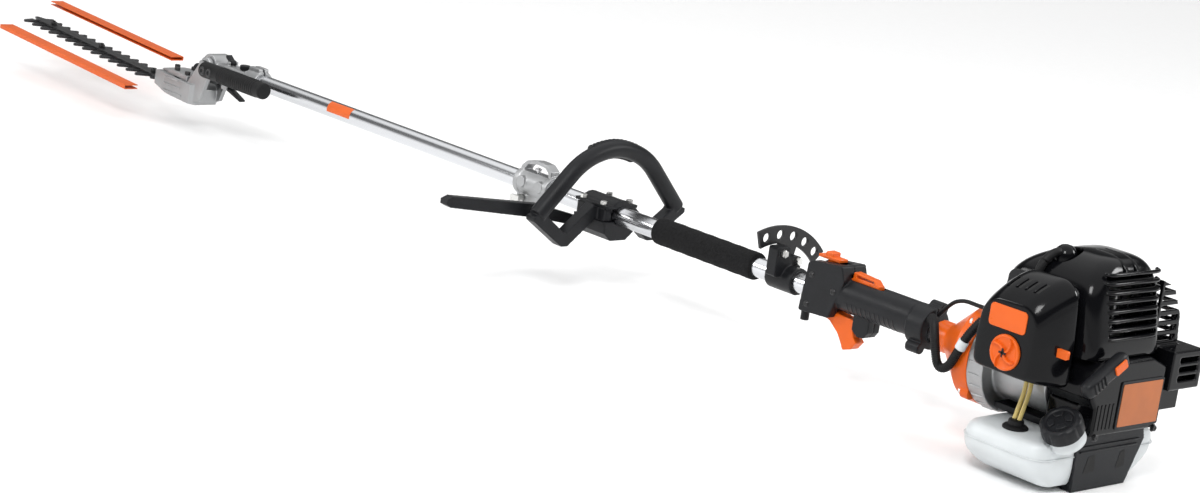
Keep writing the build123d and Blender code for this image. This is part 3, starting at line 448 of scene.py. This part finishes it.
def crisp(node, width=0.4, mat=None):
    """The CAD piece with a fine bevel on its edges, as cut or pressed metal has."""
    bm = bmesh.new()
    bm.from_mesh(frame["nodes"][node].data)
    bmesh.ops.remove_doubles(bm, verts=bm.verts, dist=0.00001)
    bmesh.ops.dissolve_limit(bm, angle_limit=math.radians(2), verts=bm.verts, edges=bm.edges)
    mesh = bpy.data.meshes.new(node + "_crisp")
    bm.to_mesh(mesh)
    bm.free()
    obj = bpy.data.objects.new(node + "_crisp", mesh)
    bpy.context.scene.collection.objects.link(obj)
    mesh.materials.append(mat or NODE_FINISH.get(node, SLOT_FINISH[node_slot[node]]))
    mesh.shade_smooth()
    mesh.set_sharp_from_angle(angle=math.radians(40))
    mod = obj.modifiers.new("bevel", "BEVEL")
    mod.width, mod.segments, mod.limit_method, mod.angle_limit = width * MM, 2, "ANGLE", math.radians(35)
    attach(obj, node_body[node])
    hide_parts(node)
    return obj


def screw(name, where, direction, radius, height, body, mat=None, socket="hex"):
    """Machine screw: a washer face, a round or six-sided head and a dark disc of painted shade standing in for the
    drive recess.
    """
    w = Vector(direction).normalized()
    base = Vector(where)
    bm = bmesh.new()
    add_lathe(bm, [(-0.6, radius * 1.35), (0.2, radius * 1.35), (0.5, radius * 1.25)], base, w, 24)
    steps = 6 if socket == "flats" else 24
    add_lathe(bm, [(0.3, radius), (height - 0.5, radius), (height, radius * 0.85)], base, w, steps)
    finish_piece(name, bm, body, mat or ZINC, smooth_angle=30)
    # dark disc set in the head top, painted shade for the drive recess
    bm = bmesh.new()
    add_lathe(bm, [(height - 0.4, radius * 0.45), (height + 0.08, radius * 0.45)], base, w, 6)
    finish_piece(name + "_drive_shade", bm, body, RECESS_SHADE)


# ---- air cleaner ----
def air_cleaner():
    """Deep glossy cover: flat front, sloping vented top, sides that lean in."""
    b = NodeBox("air_cleaner_cover")
    back = [(b.x0 - 2, b.z0 - 1), (b.x0 + 2, b.z0 + 50), (b.x0 + 8, b.z1 - 32), (b.x0 + 34, b.z1 - 1),
            (b.x1 - 22, b.z1), (b.x1 - 5, b.z1 - 14), (b.x1, b.z0 + 56), (b.x1 + 2, b.z0 - 1)]
    front = [(b.x0 + 13, b.z0 + 6), (b.x0 + 12, b.z0 + 42), (b.x0 + 15, b.z0 + 74), (b.x0 + 30, b.z0 + 89),
             (b.x1 - 32, b.z0 + 90), (b.x1 - 18, b.z0 + 76), (b.x1 - 17, b.z0 + 42), (b.x1 - 18, b.z0 + 6)]
    depth = b.y1 - b.y0
    rings = []
    centre = ((b.x0 + b.x1) / 2 - 2, b.z0 + 48)
    for back_off, blend, size in ((0, 0, 0.97), (0, 0, 1), (0.06, 0.01, 1), (0.25, 0.10, 1), (0.5, 0.30, 1),
                                  (0.75, 0.60, 1),
                                  (0.88, 0.82, 1), (0.96, 0.97, 0.995), (1.0, 1.0, 0.955), (1.0, 1.0, 0.90)):
        outline = [(p[0] + (q[0] - p[0]) * blend, p[1] + (q[1] - p[1]) * blend) for p, q in zip(back, front)]
        ring = round_corners(outline, [12, 30, 30, 30, 30, 30, 30, 12], 4)
        rings.append([(x, b.y1 - depth * back_off, z) for x, z in shrink(ring, centre, size)])
    bm = bmesh.new()
    add_loft(bm, rings)
    shell = finish_piece("air_cleaner_shell", bm, "machine", GLOSS, subsurf=1,
                         replaces=["air_cleaner_cover"])
    # four vents on the slope, each a raised lip beside a dark strip of painted shade where the slot would be
    for i in range(4):
        for name, shift, half, lift, mat in (("lip", 0.0, 1.7, 1.5, GLOSS),
                                             ("slot", 4.6, 1.9, 0.25, RECESS_SHADE)):
            rings = []
            for t, w in ((-9, 0.3), (-8, 1.0), (0, 1.0), (8, 1.0), (9, 0.3)):
                x = b.x0 + 36 + i * 12.5 + shift + t * 0.25
                top = [on_surface(shell, (x + side * half * w, b.y0 + 21 + t * 0.8, b.z1 + 30),
                                  (0, 0, -1)) for side in (1, -1)]
                drop, rise = Vector((0, 1.2, -1.8)), Vector((0, -lift * 0.7, lift * 0.7))
                rings.append([top[0] + drop, top[0] + rise, top[1] + rise, top[1] + drop])
            bm = bmesh.new()
            add_loft(bm, rings)
            finish_piece(f"cleaner_vent_{name}_{i}", bm, "machine", mat, bevel=0.4)
    # blank badge
    bm = bmesh.new()
    k = NodeBox("cleaner_knob")
    add_prism(bm, rounded(b.x0 + 28, b.x0 + 80, b.z0 + 56, b.z0 + 82, 5), "y", b.y0 - 1.6, b.y0 + 1)
    finish_piece("cleaner_badge", bm, "machine", ORANGE, bevel=0.7)
    # knob: disc, four swept lobes, and a cross slot drawn as dark bars of painted shade
    bm = bmesh.new()
    r = k.x1 - k.x
    add_lathe(bm, [(0, r - 2), (0.5, r), (4.0, r), (5.2, r - 1), (5.2, r - 3.0), (4.2, r - 4.5), (4.2, 0.1)],
              (k.x, b.y0 + 1.5, k.z), (0, -1, 0), 48)
    for i in range(4):
        a0 = math.radians(20 + 90 * i)
        rings = []
        for t in range(7):
            s = t / 6
            a = a0 + 0.75 * s
            rad = 2.5 + (r - 5.0) * s
            c = Vector((k.x + rad * math.cos(a), 0, k.z + rad * math.sin(a)))
            n = Vector((-math.sin(a - 0.5), 0, math.cos(a - 0.5)))
            w = 2.2 + 1.4 * s
            rings.append([c + n * w + Vector((0, b.y0 - 2, 0)), c + n * w * 0.6 + Vector((0, b.y0 - 6.4, 0)),
                          c - n * w * 0.6 + Vector((0, b.y0 - 6.4, 0)), c - n * w +
                          Vector((0, b.y0 - 2, 0))])
        add_loft(bm, rings)
    finish_piece("cleaner_knob_cap", bm, node_body["cleaner_knob"], ORANGE, bevel=0.5,
                 replaces=["cleaner_knob"])
    # cross slot: two dark bars of painted shade standing in for the groove
    bm = bmesh.new()
    for s, t in ((5, 1.1), (1.1, 5)):
        add_box(bm, k.x - s, k.x + s, b.y0 - 6.6, b.y0 - 5.5, k.z - t, k.z + t)
    finish_piece("cleaner_knob_slot_shade", bm, node_body["cleaner_knob"], RECESS_SHADE)


# ---- cylinder cover ----
def shroud_ring(b, z, x0, x1, y0, y1, r):
    return [(x, y, z) for x, y in rounded(b.x0 + x0, b.x1 - x1, b.y0 + y0, b.y1 - y1, r, 4)]


def shroud():
    """Glossy cover over the cylinder, louvred at the back."""
    b = NodeBox("engine_shroud")
    levels = ((0.00, 4, 2, 0, 0, 16), (0.03, 1, 1, 0, 0, 16), (0.12, 0, 1, 0, 0, 17), (0.40, 0, 6, 0, 0, 18),
              (0.60, 1, 11, 1, 1, 19), (0.74, 10, 15, 7, 3, 20), (0.84, 22, 18, 16, 7, 21),
              (0.92, 36, 23, 30, 14, 20), (0.97, 50, 29, 42, 23, 18), (1.0, 66, 40, 56, 36, 13))
    rings = [shroud_ring(b, b.z0 + (b.z1 - b.z0) * t, x0, x1, y0, y1, r) for t, x0, x1, y0, y1, r in levels]
    bm = bmesh.new()
    add_loft(bm, rings, cap=False)
    bm.verts.ensure_lookup_table()
    n = len(rings[0])
    bm.faces.new(bm.verts[len(bm.verts) - n:])
    cutter = bmesh.new()
    pitch = 10.4
    for i in range(7):
        z = b.z0 + 24 + i * pitch
        add_loft(cutter, [[(x, u, v) for u, v in rounded(b.y0 + 28, b.y1 - 14, z, z + 5.4, 2.5, 3)]
                          for x in (b.x1 - 34, b.x1 + 8)])
    add_loft(cutter, [[(x, y, b.z1 - 34) for x, y in rounded(-4, 32, -32, 4, 15)],
                      [(x, y, b.z1 + 8) for x, y in rounded(-4, 32, -32, 4, 15)]])
    obj = finish_piece("shroud_shell", bm, "machine", GLOSS, subsurf=2,
                       replaces=["engine_shroud"])
    tool_mesh = bpy.data.meshes.new("slots")
    bmesh.ops.recalc_face_normals(cutter, faces=cutter.faces)
    cutter.to_mesh(tool_mesh)
    cutter.free()
    tool_mesh.transform(Matrix.Translation((0, 0, AXIS * MM)) @ Matrix.Scale(MM, 4))
    tool = bpy.data.objects.new("slots", tool_mesh)
    bpy.context.scene.collection.objects.link(tool)
    thick = obj.modifiers.new("wall", "SOLIDIFY")
    thick.thickness, thick.offset = 3 * MM, -1
    cut = obj.modifiers.new("louvres", "BOOLEAN")
    cut.object, cut.operation, cut.solver = tool, "DIFFERENCE", "EXACT"
    bpy.context.view_layer.update()
    baked = bpy.data.meshes.new_from_object(obj.evaluated_get(bpy.context.evaluated_depsgraph_get()))
    obj.modifiers.clear()
    obj.data = baked
    baked.shade_smooth()
    baked.set_sharp_from_angle(angle=math.radians(40))
    bpy.data.objects.remove(tool)
    # rounded slat over each bar between the slots
    for i in range(8):
        z = b.z0 + 24 - 2.5 + i * pitch
        t = (z - b.z0) / (b.z1 - b.z0)
        lean = 1 + 14 * max(0, t - 0.08)
        x = b.x1 - lean
        path = [(x - 9, b.y0 + 24, z), (x - 1.2, b.y0 + 32, z), (x + 0.6, (b.y0 + b.y1) / 2 + 7, z + 0.6),
                (x - 1.2, b.y1 - 19, z),
                (x - 9, b.y1 - 10, z)]
        bm = bmesh.new()
        add_tube(bm, smooth_path(path, 8), 2.3, 12)
        finish_piece(f"shroud_slat_{i}", bm, "machine", GLOSS)
    # pressed ridges over the top
    for i, y in enumerate((b.y0 + 62, b.y0 + 82, b.y0 + 102)):
        bm = bmesh.new()
        path = [(b.x1 - 18, y, b.z0 + 94), (b.x1 - 26, y, b.z0 + 101), (b.x1 - 42, y, b.z1 - 3.0),
                (b.x1 - 66, y, b.z1 - 2.6)]
        if y > b.y1 - 40:
            path = [(p[0] - 1, p[1], p[2] - 4) for p in path]
        add_tube(bm, smooth_path(path, 8), 3.0, 12)
        finish_piece(f"shroud_ridge_{i}", bm, "machine", GLOSS)
    # spark lead from the boot down behind the air cleaner
    boot = NodeBox("plug_boot")
    bm = bmesh.new()
    add_tube(bm, smooth_path([(boot.x, boot.y, boot.z1 - 8), (boot.x - 2, boot.y - 14, boot.z1 - 4),
                              (boot.x - 6, boot.y - 28, boot.z1 - 14),
                              (boot.x - 8, boot.y - 36, boot.z1 - 32)], 8), 5.0, 14)
    finish_piece("spark_lead", bm, "machine", RUBBER)
    bm = bmesh.new()
    add_lathe(bm, [(0, 13.5), (8, 14.2), (16, 14.4), (24, 13.6), (30, 11), (34, 6.5), (35.5, 0.1)],
              (boot.x, boot.y, boot.z0 + 0.5),
              (0, 0, 1), 32)
    for k in range(3):
        add_lathe(bm, [(0, 14.8), (1.6, 15.2), (3.2, 14.8)], (boot.x, boot.y, boot.z0 + 3 + k * 5),
                  (0, 0, 1), 32)
    finish_piece("plug_boot_cap", bm, "machine", GLOSS, replaces=["plug_boot"])


# ---- fuel tank ----
def tank():
    """Milky blow-moulded tank with round ends and chamfered underside."""
    b = NodeBox("fuel_tank")
    levels = ((0.0, 22, 34, 42, 8), (0.03, 16, 28, 36, 14), (0.12, 8, 20, 28, 20), (0.34, 2, 4, 10, 24),
              (0.52, 0, 0, 2, 26),
              (0.72, 0, 0, 0, 26), (0.88, 3, 3, 3, 24), (0.96, 8, 8, 10, 20), (1.0, 16, 16, 20, 14))
    height = 55.0
    rings = []
    for t, dx, dy0, dy1, r in levels:
        rings.append([(x, y, b.z0 + height * t) for x, y in
                      rounded(b.x0 + dx, b.x0 + 120 - 0.3 * dx, b.y0 + dy0, b.y1 - dy1, r, 5)])
    bm = bmesh.new()
    add_loft(bm, rings)
    turn = joint("fuel_cap_turn")
    axis = Vector(turn["axis"])
    base = Vector([c / MM for c in turn["pos_m"]]) - Vector((0, 0, AXIS))
    add_lathe(bm, [(-12, 24), (-6, 22.5), (0, 20.5), (3, 19.6), (7, 19.6)], base, axis, 40)
    finish_piece("tank_body", bm, "machine", TANK, subsurf=1, replaces=["fuel_tank"])
    # moulding seam all round
    seam = rounded(b.x0 - 0.3, b.x0 + 120.3, b.y0 - 0.3, b.y1 + 0.3, 26, 8)
    z = b.z0 + height * 0.66
    bm = bmesh.new()
    loop = [(x, y, z) for x, y in seam]
    add_tube(bm, loop + loop[:1], 0.7, 8)
    finish_piece("tank_seam", bm, "machine", TANK)
    # grommet
    bm = bmesh.new()
    add_lathe(bm, [(-3, 15), (1, 15), (3, 13), (4, 9.5), (9, 8.8), (10, 7)], (26, -66, b.z0 + height),
              (0, 0, 1), 32)
    finish_piece("line_grommet", bm, "machine", RUBBER)
    # cap: skirt with finger hollows, rim and four lugs on the face
    bm = bmesh.new()
    u = Vector((1, 0, 0))
    v = axis.cross(u)
    rings = []
    for along, radius, wave in ((5.5, 23.6, 0.0), (7, 24.8, 0.6), (12, 25.0, 1.5), (19, 24.6, 1.5),
                                (22, 23.4, 1.1), (23.6, 21, 0.5),
                                (24.0, 17.5, 0.0), (22.8, 16.0, 0.0), (22.6, 4.0, 0.0)):
        ring = []
        for i in range(64):
            a = 2 * PI * i / 64
            dip = wave * max(0.0, math.cos(8 * a)) ** 2 * 1.6
            ring.append(base + axis * along + (u * math.cos(a) + v * math.sin(a)) * (radius - dip))
        rings.append(ring)
    add_loft(bm, rings)
    for i in range(4):
        a0 = PI / 4 + i * PI / 2
        rings = []
        for k in range(5):
            a = a0 + (k - 2) * 0.24
            ring = []
            for rad, along in ((6, 22), (6.8, 24.6), (13.6, 24.6), (14.6, 22)):
                ring.append(base + axis * along + (u * math.cos(a) + v * math.sin(a)) * rad)
            rings.append(ring)
        add_loft(bm, rings)
    finish_piece("fuel_cap_body", bm, node_body["fuel_cap"], SATIN, bevel=0.6,
                 replaces=["fuel_cap"])


# ---- starter ----
HANDLE_TURN = math.radians(30)          # the pull handle's slant, about the shaft's direction


def starter():
    b = NodeBox("starter_housing")
    softened("starter_housing", GLOSS, voxel=1.2, passes=6)
    # label with a black frame, left blank
    for name, mat, y0, y1, z0, z1, x0, x1, r in (("label_frame", SATIN, 6, 86, -36, 20, 0.0, 1.6, 3),
                                                 ("label_plate", LABEL, 9, 83, -33, 17, 1.2, 2.2, 1.5)):
        bm = bmesh.new()
        add_prism(bm, rounded(y0, y1, z0, z1, r), "x", b.x1 - 0.6 + x0, b.x1 + x1)
        finish_piece("starter_" + name, bm, "machine", mat, bevel=0.3)
    for i in range(5):
        y = -30 + i * 7
        bm = bmesh.new()
        add_loft(bm, [[(b.x1 - 1 + 1.8 * s, yy, zz) for yy, zz in rounded(y - 1.2, y + 1.2, -34, -4, 1.1,
            3)] for s in (0, 1)])
        finish_piece(f"starter_rib_{i}", bm, "machine", GLOSS, bevel=0.4)
    for i, (y, z) in enumerate(((-36, 36), (52, 38), (-26, -38), (84, -38))):
        screw(f"starter_screw_{i}", (b.x1 - 6 if i == 1 else b.x1 - 1, y, z - 4), (1, 0, 0), 3.6, 3.4,
              "machine", DARK_BOLT)
    # pull handle with its orange inset
    h = NodeBox("starter_handle")
    cy, cz = (h.y0 + h.y1) / 2, (h.z0 + h.z1) / 2
    turn = Matrix.Rotation(HANDLE_TURN, 3, "X")
    bm = bmesh.new()
    rings = []
    for t, w, d in ((-37, 5, 4), (-35, 8.5, 6.5), (-28, 10.5, 8.5), (-10, 9.6, 7.6), (0, 9.2, 7.2),
                    (10, 9.6, 7.6), (28, 10.5, 8.5),
                    (35, 8.5, 6.5), (37, 5, 4)):
        ring = []
        for x, z in rounded(-d, d, -w, w, min(w, d) * 0.7, 4):
            p = turn @ Vector((0, t, z))
            ring.append((h.x + x, cy + p.y, cz + p.z))
        rings.append(ring)
    add_loft(bm, rings)
    finish_piece("pull_handle", bm, "starter_grip", SATIN, subsurf=1,
                 replaces=["starter_handle"])
    bm = bmesh.new()
    rings = []
    for x in (h.x + 6.5, h.x + 9.4):
        rings.append([(x, cy + (turn @ Vector((0, t, z))).y, cz + (turn @ Vector((0, t, z))).z)
                      for t, z in rounded(9, 29, -5.4, 5.4, 2)])
    add_loft(bm, rings)
    finish_piece("pull_handle_inset", bm, "starter_grip", ORANGE, bevel=0.6)
    for i in range(4):
        t = -8 - i * 6
        bm = bmesh.new()
        rings = []
        for x in (h.x + 6.0, h.x + 9.0):
            rings.append([(x, cy + (turn @ Vector((0, tt, z))).y, cz + (turn @ Vector((0, tt, z))).z)
                          for tt, z in rounded(t - 1.3, t + 1.3, -6.5, 6.5, 1.2)])
        add_loft(bm, rings)
        finish_piece(f"pull_handle_rib_{i}", bm, "starter_grip", SATIN, bevel=0.5)


    # the cord between the housing and the handle, a straight bar taken off its body and left where it is drawn
    rope = NodeBox("starter_rope")
    bm = bmesh.new()
    x0, x1 = b.x1 - 14, h.x - 1
    add_tube(bm, [(x0 + (x1 - x0) * k / 12, rope.y, rope.z) for k in range(13)], 1.4, 12)
    cord = finish_piece("starter_cord", bm, "machine", ROPE)
    cord.parent = None
    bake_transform(cord)


# ---- exhaust ----
def exhaust():
    softened("muffler_guard", GLOSS, voxel=1.2, passes=4)
    softened("muffler", STEEL, voxel=1.5, passes=4)
    softened("engine_stand", STAND, voxel=1.2, passes=4)
    s = NodeBox("engine_stand")
    # two dark plates on the stand's face, painted shade for its pockets
    for i, (y0, y1) in enumerate(((-14, 4), (46, 60))):
        bm = bmesh.new()
        add_loft(bm, [[(x, y, z) for y, z in round_corners([(y0, -92), (y0 + 6, -72), (y1, -70),
                                                            (y1 + 3, -90)], 2)]
                      for x in (s.x1 - 2, s.x1 + 0.25)])
        finish_piece(f"stand_pocket_shade_{i}", bm, "machine", RECESS_SHADE)
    for i, z in enumerate((-60, -66)):
        bm = bmesh.new()
        add_box(bm, s.x1 - 2, s.x1 + 1.6, -28 + i * 2, 84 - i * 3, z, z + 1.8)
        finish_piece(f"stand_bead_{i}", bm, "machine", STAND, bevel=0.6)


# ---- clutch and crankcase ----
FAN_CASE_R = 60


def crank_end():
    c = NodeBox("clutch_housing")
    softened("clutch_housing", ORANGE, voxel=1.0, passes=4)
    softened("crankcase", CAST, voxel=1.2, passes=5)
    k = NodeBox("crankcase")
    for i in range(4):
        a = math.radians(45 + 90 * i)
        screw(f"flange_bolt_{i}", (c.x1 - 12, 59 * math.cos(a), 59 * math.sin(a)), (-1, 0, 0), 4.2, 5,
              "machine", ZINC)
    for i in range(14):
        a = math.radians(150 + i * 14)
        bm = bmesh.new()
        centre = Vector((0, math.cos(a), math.sin(a)))
        side = Vector((0, -math.sin(a), math.cos(a)))
        rings = []
        for x, h in ((k.x0 + 3, 0.2), (k.x0 + 5, 1.4), (k.x0 + 18, 1.4), (k.x0 + 21, 0.2)):
            c0 = centre * (FAN_CASE_R - 1) + Vector((x, 0, 0))
            rings.append([c0 - side * 1.6, c0 - side * 0.9 + centre * (1 + h), c0 + side * 0.9 + centre *
                          (1 + h), c0 + side * 1.6])
        add_loft(bm, rings)
        finish_piece(f"fan_case_rib_{i}", bm, "machine", CAST, bevel=0.4)


def nurbs_points(route, samples=16):
    """Points along the smooth NURBS line of a route."""
    curve = bpy.data.curves.new("route", "CURVE")
    curve.dimensions = "3D"
    spline = curve.splines.new("NURBS")
    spline.points.add(len(route) - 1)
    for p, q in zip(spline.points, route):
        p.co = (*place(q), 1)
    spline.order_u = 3
    spline.use_endpoint_u = True
    spline.resolution_u = samples
    obj = bpy.data.objects.new("route", curve)
    bpy.context.scene.collection.objects.link(obj)
    bpy.context.view_layer.update()
    mesh = bpy.data.meshes.new_from_object(obj.evaluated_get(bpy.context.evaluated_depsgraph_get()))
    points = [v.co.copy() for v in mesh.vertices]
    bpy.data.objects.remove(obj)
    return points


def hose(name, route, radius, mat, ribs=0, replaces=()):
    """Cable or hose along a route; ribs is the pitch of a corrugated one, in millimetres."""
    points = nurbs_points(route, 24)
    length = sum((b - a).length for a, b in zip(points, points[1:]))
    bm = bmesh.new()
    if ribs:
        steps = int(length / MM / ribs * 4)
        dense, travelled, k = [], 0.0, 0
        for i in range(steps + 1):
            want = length * i / steps
            while k < len(points) - 2 and travelled + (points[k + 1] - points[k]).length < want:
                travelled += (points[k + 1] - points[k]).length
                k += 1
            seg = points[k + 1] - points[k]
            dense.append(points[k] + seg * min(1, max(0, (want - travelled) / max(seg.length, 1e-9))))
        radii = [radius + (0.55 if i % 4 in (0, 1) else -0.45) for i in range(len(dense))]
        line = dense
    else:
        line, radii = points, radius
    to_mm = [(p.x / MM, p.y / MM, p.z / MM - AXIS) for p in line]
    add_tube(bm, to_mm, radii, 16)
    obj = finish_piece(name, bm, "machine", mat, replaces=replaces, smooth_angle=60)
    return obj


def cables():
    """Corrugated conduit and throttle cable from the handle, and the fuel hoses."""
    hose("cable_conduit", CONDUIT_ROUTE, 5.0, RUBBER, ribs=2.6, replaces=["control_cables"])
    hose("throttle_cable", THROTTLE_ROUTE, 2.5, RUBBER)
    for i, dx in enumerate((-3.5, 3.5)):
        hose(f"fuel_hose_{i}", [(26 + dx, -66, -42), (26 + dx, -63, -32), (25 + dx, -54, -10),
                                (20 + dx, -47, 12), (16 + dx, -44, 45)],
             2.6, HOSE, replaces=["fuel_lines"] if i == 0 else ())
    bm = bmesh.new()
    a, c = Vector(CONDUIT_ROUTE[6]), Vector(CONDUIT_ROUTE[7])
    d = (c - a).normalized()
    add_lathe(bm, [(-6, 5.9), (-5.4, 6.4), (5.4, 6.4), (6, 5.9)], a + (c - a) * 0.4, d, 24)
    finish_piece("conduit_clip", bm, "machine", TANK)


HANDLE_END = NodeBox("handle_left_shell").x1
CONDUIT_ROUTE = ((HANDLE_END + 3.6, -15, 18), (-148, -26, 27), (-128, -46, 22), (-110, -61, 2),
                 (-98, -66, -18), (-82, -67, -14),
                 (-72, -67, 8), (-62, -65, 34), (-50, -60, 52))
THROTTLE_ROUTE = ((HANDLE_END + 2.4, 0, 22), (-140, -8, 44), (-112, -20, 56), (-78, -36, 60), (-48, -42, 62))


# ---- rear handle ----
def rear_handle():
    for node in ("handle_left_shell", "handle_right_shell"):
        softened(node, SATIN, voxel=0.9, passes=4)
    softened("trigger", ORANGE, voxel=0.8, passes=5)
    softened("lockout_lever", ORANGE, voxel=0.7, passes=3)
    crisp("stop_switch", 0.8, ORANGE)
    b = NodeBox("handle_left_shell")
    for i, (x, z) in enumerate(((b.x0 + 22, 22), (b.x0 + 20, -16), (b.x0 + 60, 10))):
        screw(f"handle_screw_{i}", (x, -22, z), (0, -1, 0), 3.0, 1.6, "machine", DARK_BOLT)
    for i in range(11):
        x = b.x0 + 84 + i * 7.5
        bm = bmesh.new()
        rings = []
        for dx, r in ((-2.0, 21.6), (-1.1, 22.5), (1.1, 22.5), (2.0, 21.6)):
            rings.append([(x + dx, r * math.cos(a), 8 + r * math.sin(a)) for a in
                          [math.radians(195 + 150 * k / 18) for k in range(19)]])
        rows = [[bm.verts.new(p) for p in ring] for ring in rings]
        for p, q in zip(rows, rows[1:]):
            for j in range(18):
                bm.faces.new((p[j], p[j + 1], q[j + 1], q[j]))
        finish_piece(f"handle_rib_{i}", bm, "machine", SATIN, smooth_angle=60)


# ---- loop handle, clamps, foam, strap, coupler ----
def loop_and_clamps():
    softened("loop_handle", SATIN, voxel=1.1, passes=4)
    b = NodeBox("loop_handle")
    cx = b.x
    arch = smooth_path([(cx, -104, 24), (cx, -80, 50), (cx, -50, 74), (cx, 0, 86.5), (cx, 50, 74),
                        (cx, 80, 50), (cx, 104, 24)], 12)
    ribbed = [Vector(p) - Vector((0, 0, 1)) for p in arch if -36 < p[1] < 40]
    points, radii, run = [], [], 0.0
    for p, q in zip(ribbed, ribbed[1:]):
        steps = max(1, round((q - p).length / 0.9))
        for k in range(steps):
            points.append(tuple(p.lerp(q, k / steps)))
            radii.append(12.5 + 1.1 * math.cos(2 * PI * run / 6.0))
            run += (q - p).length / steps
    bm = bmesh.new()
    add_tube(bm, points, radii, 28)
    finish_piece("loop_grip_ribs", bm, "machine", SATIN, smooth_angle=70)
    for node in ("loop_clamp_upper", "loop_clamp_lower", "barrier_bar"):
        softened(node, SATIN, voxel=1.0, passes=4)
    softened("strap_clamp", SATIN, voxel=0.8, passes=3)
    softened("coupler_body", CAST, voxel=0.8, passes=3)
    crisp("strap_hook_plate", 0.5, BLACK_STEEL)
    crisp("coupler_knob", 0.6)
    crisp("clamp_bolts", 0.4, ZINC)
    f = NodeBox("foam_grip")
    bm = bmesh.new()
    r = (f.y1 - f.y0) / 2
    profile = [(0, TUBE_R + 0.1), (0, r - 2.5), (1.0, r - 0.8), (3, r)]
    length = f.x1 - f.x0
    for i in range(1, 24):
        profile.append((3 + (length - 6) * i / 24, r + 0.25 * math.sin(i * 1.7)))
    profile += [(length - 3, r), (length - 1.0, r - 0.8), (length, r - 2.5), (length, TUBE_R + 0.1)]
    add_lathe(bm, profile, (f.x0, 0, 0), (1, 0, 0), 48)
    sleeve = finish_piece("foam_sleeve", bm, "machine", FOAM, replaces=["foam_grip"])
    bm = bmesh.new()
    rows = []
    for k in range(17):
        a = math.radians(108 + 82 * k / 16)
        rows.append([bm.verts.new((x, (TUBE_R + 0.12) * math.cos(a), (TUBE_R + 0.12) * math.sin(a))) for
                     x in (-1374, -1317)])
    for p, q in zip(rows, rows[1:]):
        bm.faces.new((p[0], p[1], q[1], q[0]))
    finish_piece("tube_sticker", bm, "attachment", COVER_ORANGE)


# ---- cutter head ----
def head():
    softened("gear_case", CAST, voxel=0.9, passes=3)
    softened("gear_case_cover", CAST, voxel=0.7, passes=3)
    softened("pivot_housing", CAST, voxel=0.8, passes=3)
    softened("tilt_handle", RUBBER, voxel=1.0, passes=3)
    softened("tilt_lock_lever", SATIN, voxel=0.7, passes=3)
    softened("tilt_release_lever", SATIN, voxel=0.6, passes=2)
    softened("collar_knob", SATIN, voxel=0.6, passes=2)
    softened("index_plunger", SATIN, voxel=0.7, passes=2)
    crisp("blade_bolts", 0.4, DARK_BOLT)
    crisp("blade_guide_bar", 0.5)
    for node in ("upper_blade", "lower_blade", "blade_cover_left", "blade_cover_right"):
        crisp(node, 0.35)
    t = NodeBox("tilt_handle")
    r = (t.z1 - t.z0) / 2
    for i in range(18):
        x = t.x0 + 52 + i * 5.6
        bm = bmesh.new()
        add_lathe(bm, [(-1.6, r - 0.3), (-0.8, r + 0.7), (0.8, r + 0.7), (1.6, r - 0.3)],
                  (x, t.y0 + r, t.z), (1, 0, 0), 32)
        finish_piece(f"tilt_grip_rib_{i}", bm, "cutter_head", RUBBER)
    # two dark bolts where the handle is fixed, and cast ribs and bolts on the gear case
    for i, x in enumerate((t.x0 + 12, t.x0 + 30)):
        bm = bmesh.new()
        add_lathe(bm, [(-3, 6.6), (0.4, 6.6), (1.4, 5.8), (1.4, 3.2), (0.2, 2.8), (0.2, 0.1)],
                  (x, t.y0 + 0.6, t.z), (0, -1, 0), 24)
        finish_piece(f"tilt_handle_bolt_{i}", bm, "cutter_head", DARK_BOLT)
    g = NodeBox("gear_case")
    for i, z in enumerate((g.z0 + 9, g.z0 + 20, g.z0 + 31)):
        for side in (-1, 1):
            path = [(g.x0 + 16, side * 18, z), (g.x0 + 44, side * 27.2, z),
                    (g.x0 + 92 - i * 6, side * 27.2, z)]
            bm = bmesh.new()
            add_tube(bm, smooth_path(path, 6), 1.9, 10)
            finish_piece(f"gear_case_rib_{i}_{'left' if side < 0 else 'right'}", bm, "cutter_head", CAST)
    for side in (-1, 1):
        bm = bmesh.new()
        add_lathe(bm, [(0, 9.5), (2.2, 9.5), (3.4, 8.5), (3.4, 4), (2.6, 3.6), (2.6, 0.1)],
                  (PIVOT[0], side * 23.5, 0), (0, side, 0), 32)
        finish_piece("pivot_cap_left" if side < 0 else "pivot_cap_right", bm, "attachment", DARK_BOLT)


for build in (air_cleaner, shroud, tank, starter, exhaust, crank_end, cables, rear_handle, loop_and_clamps,
              head):
    build()
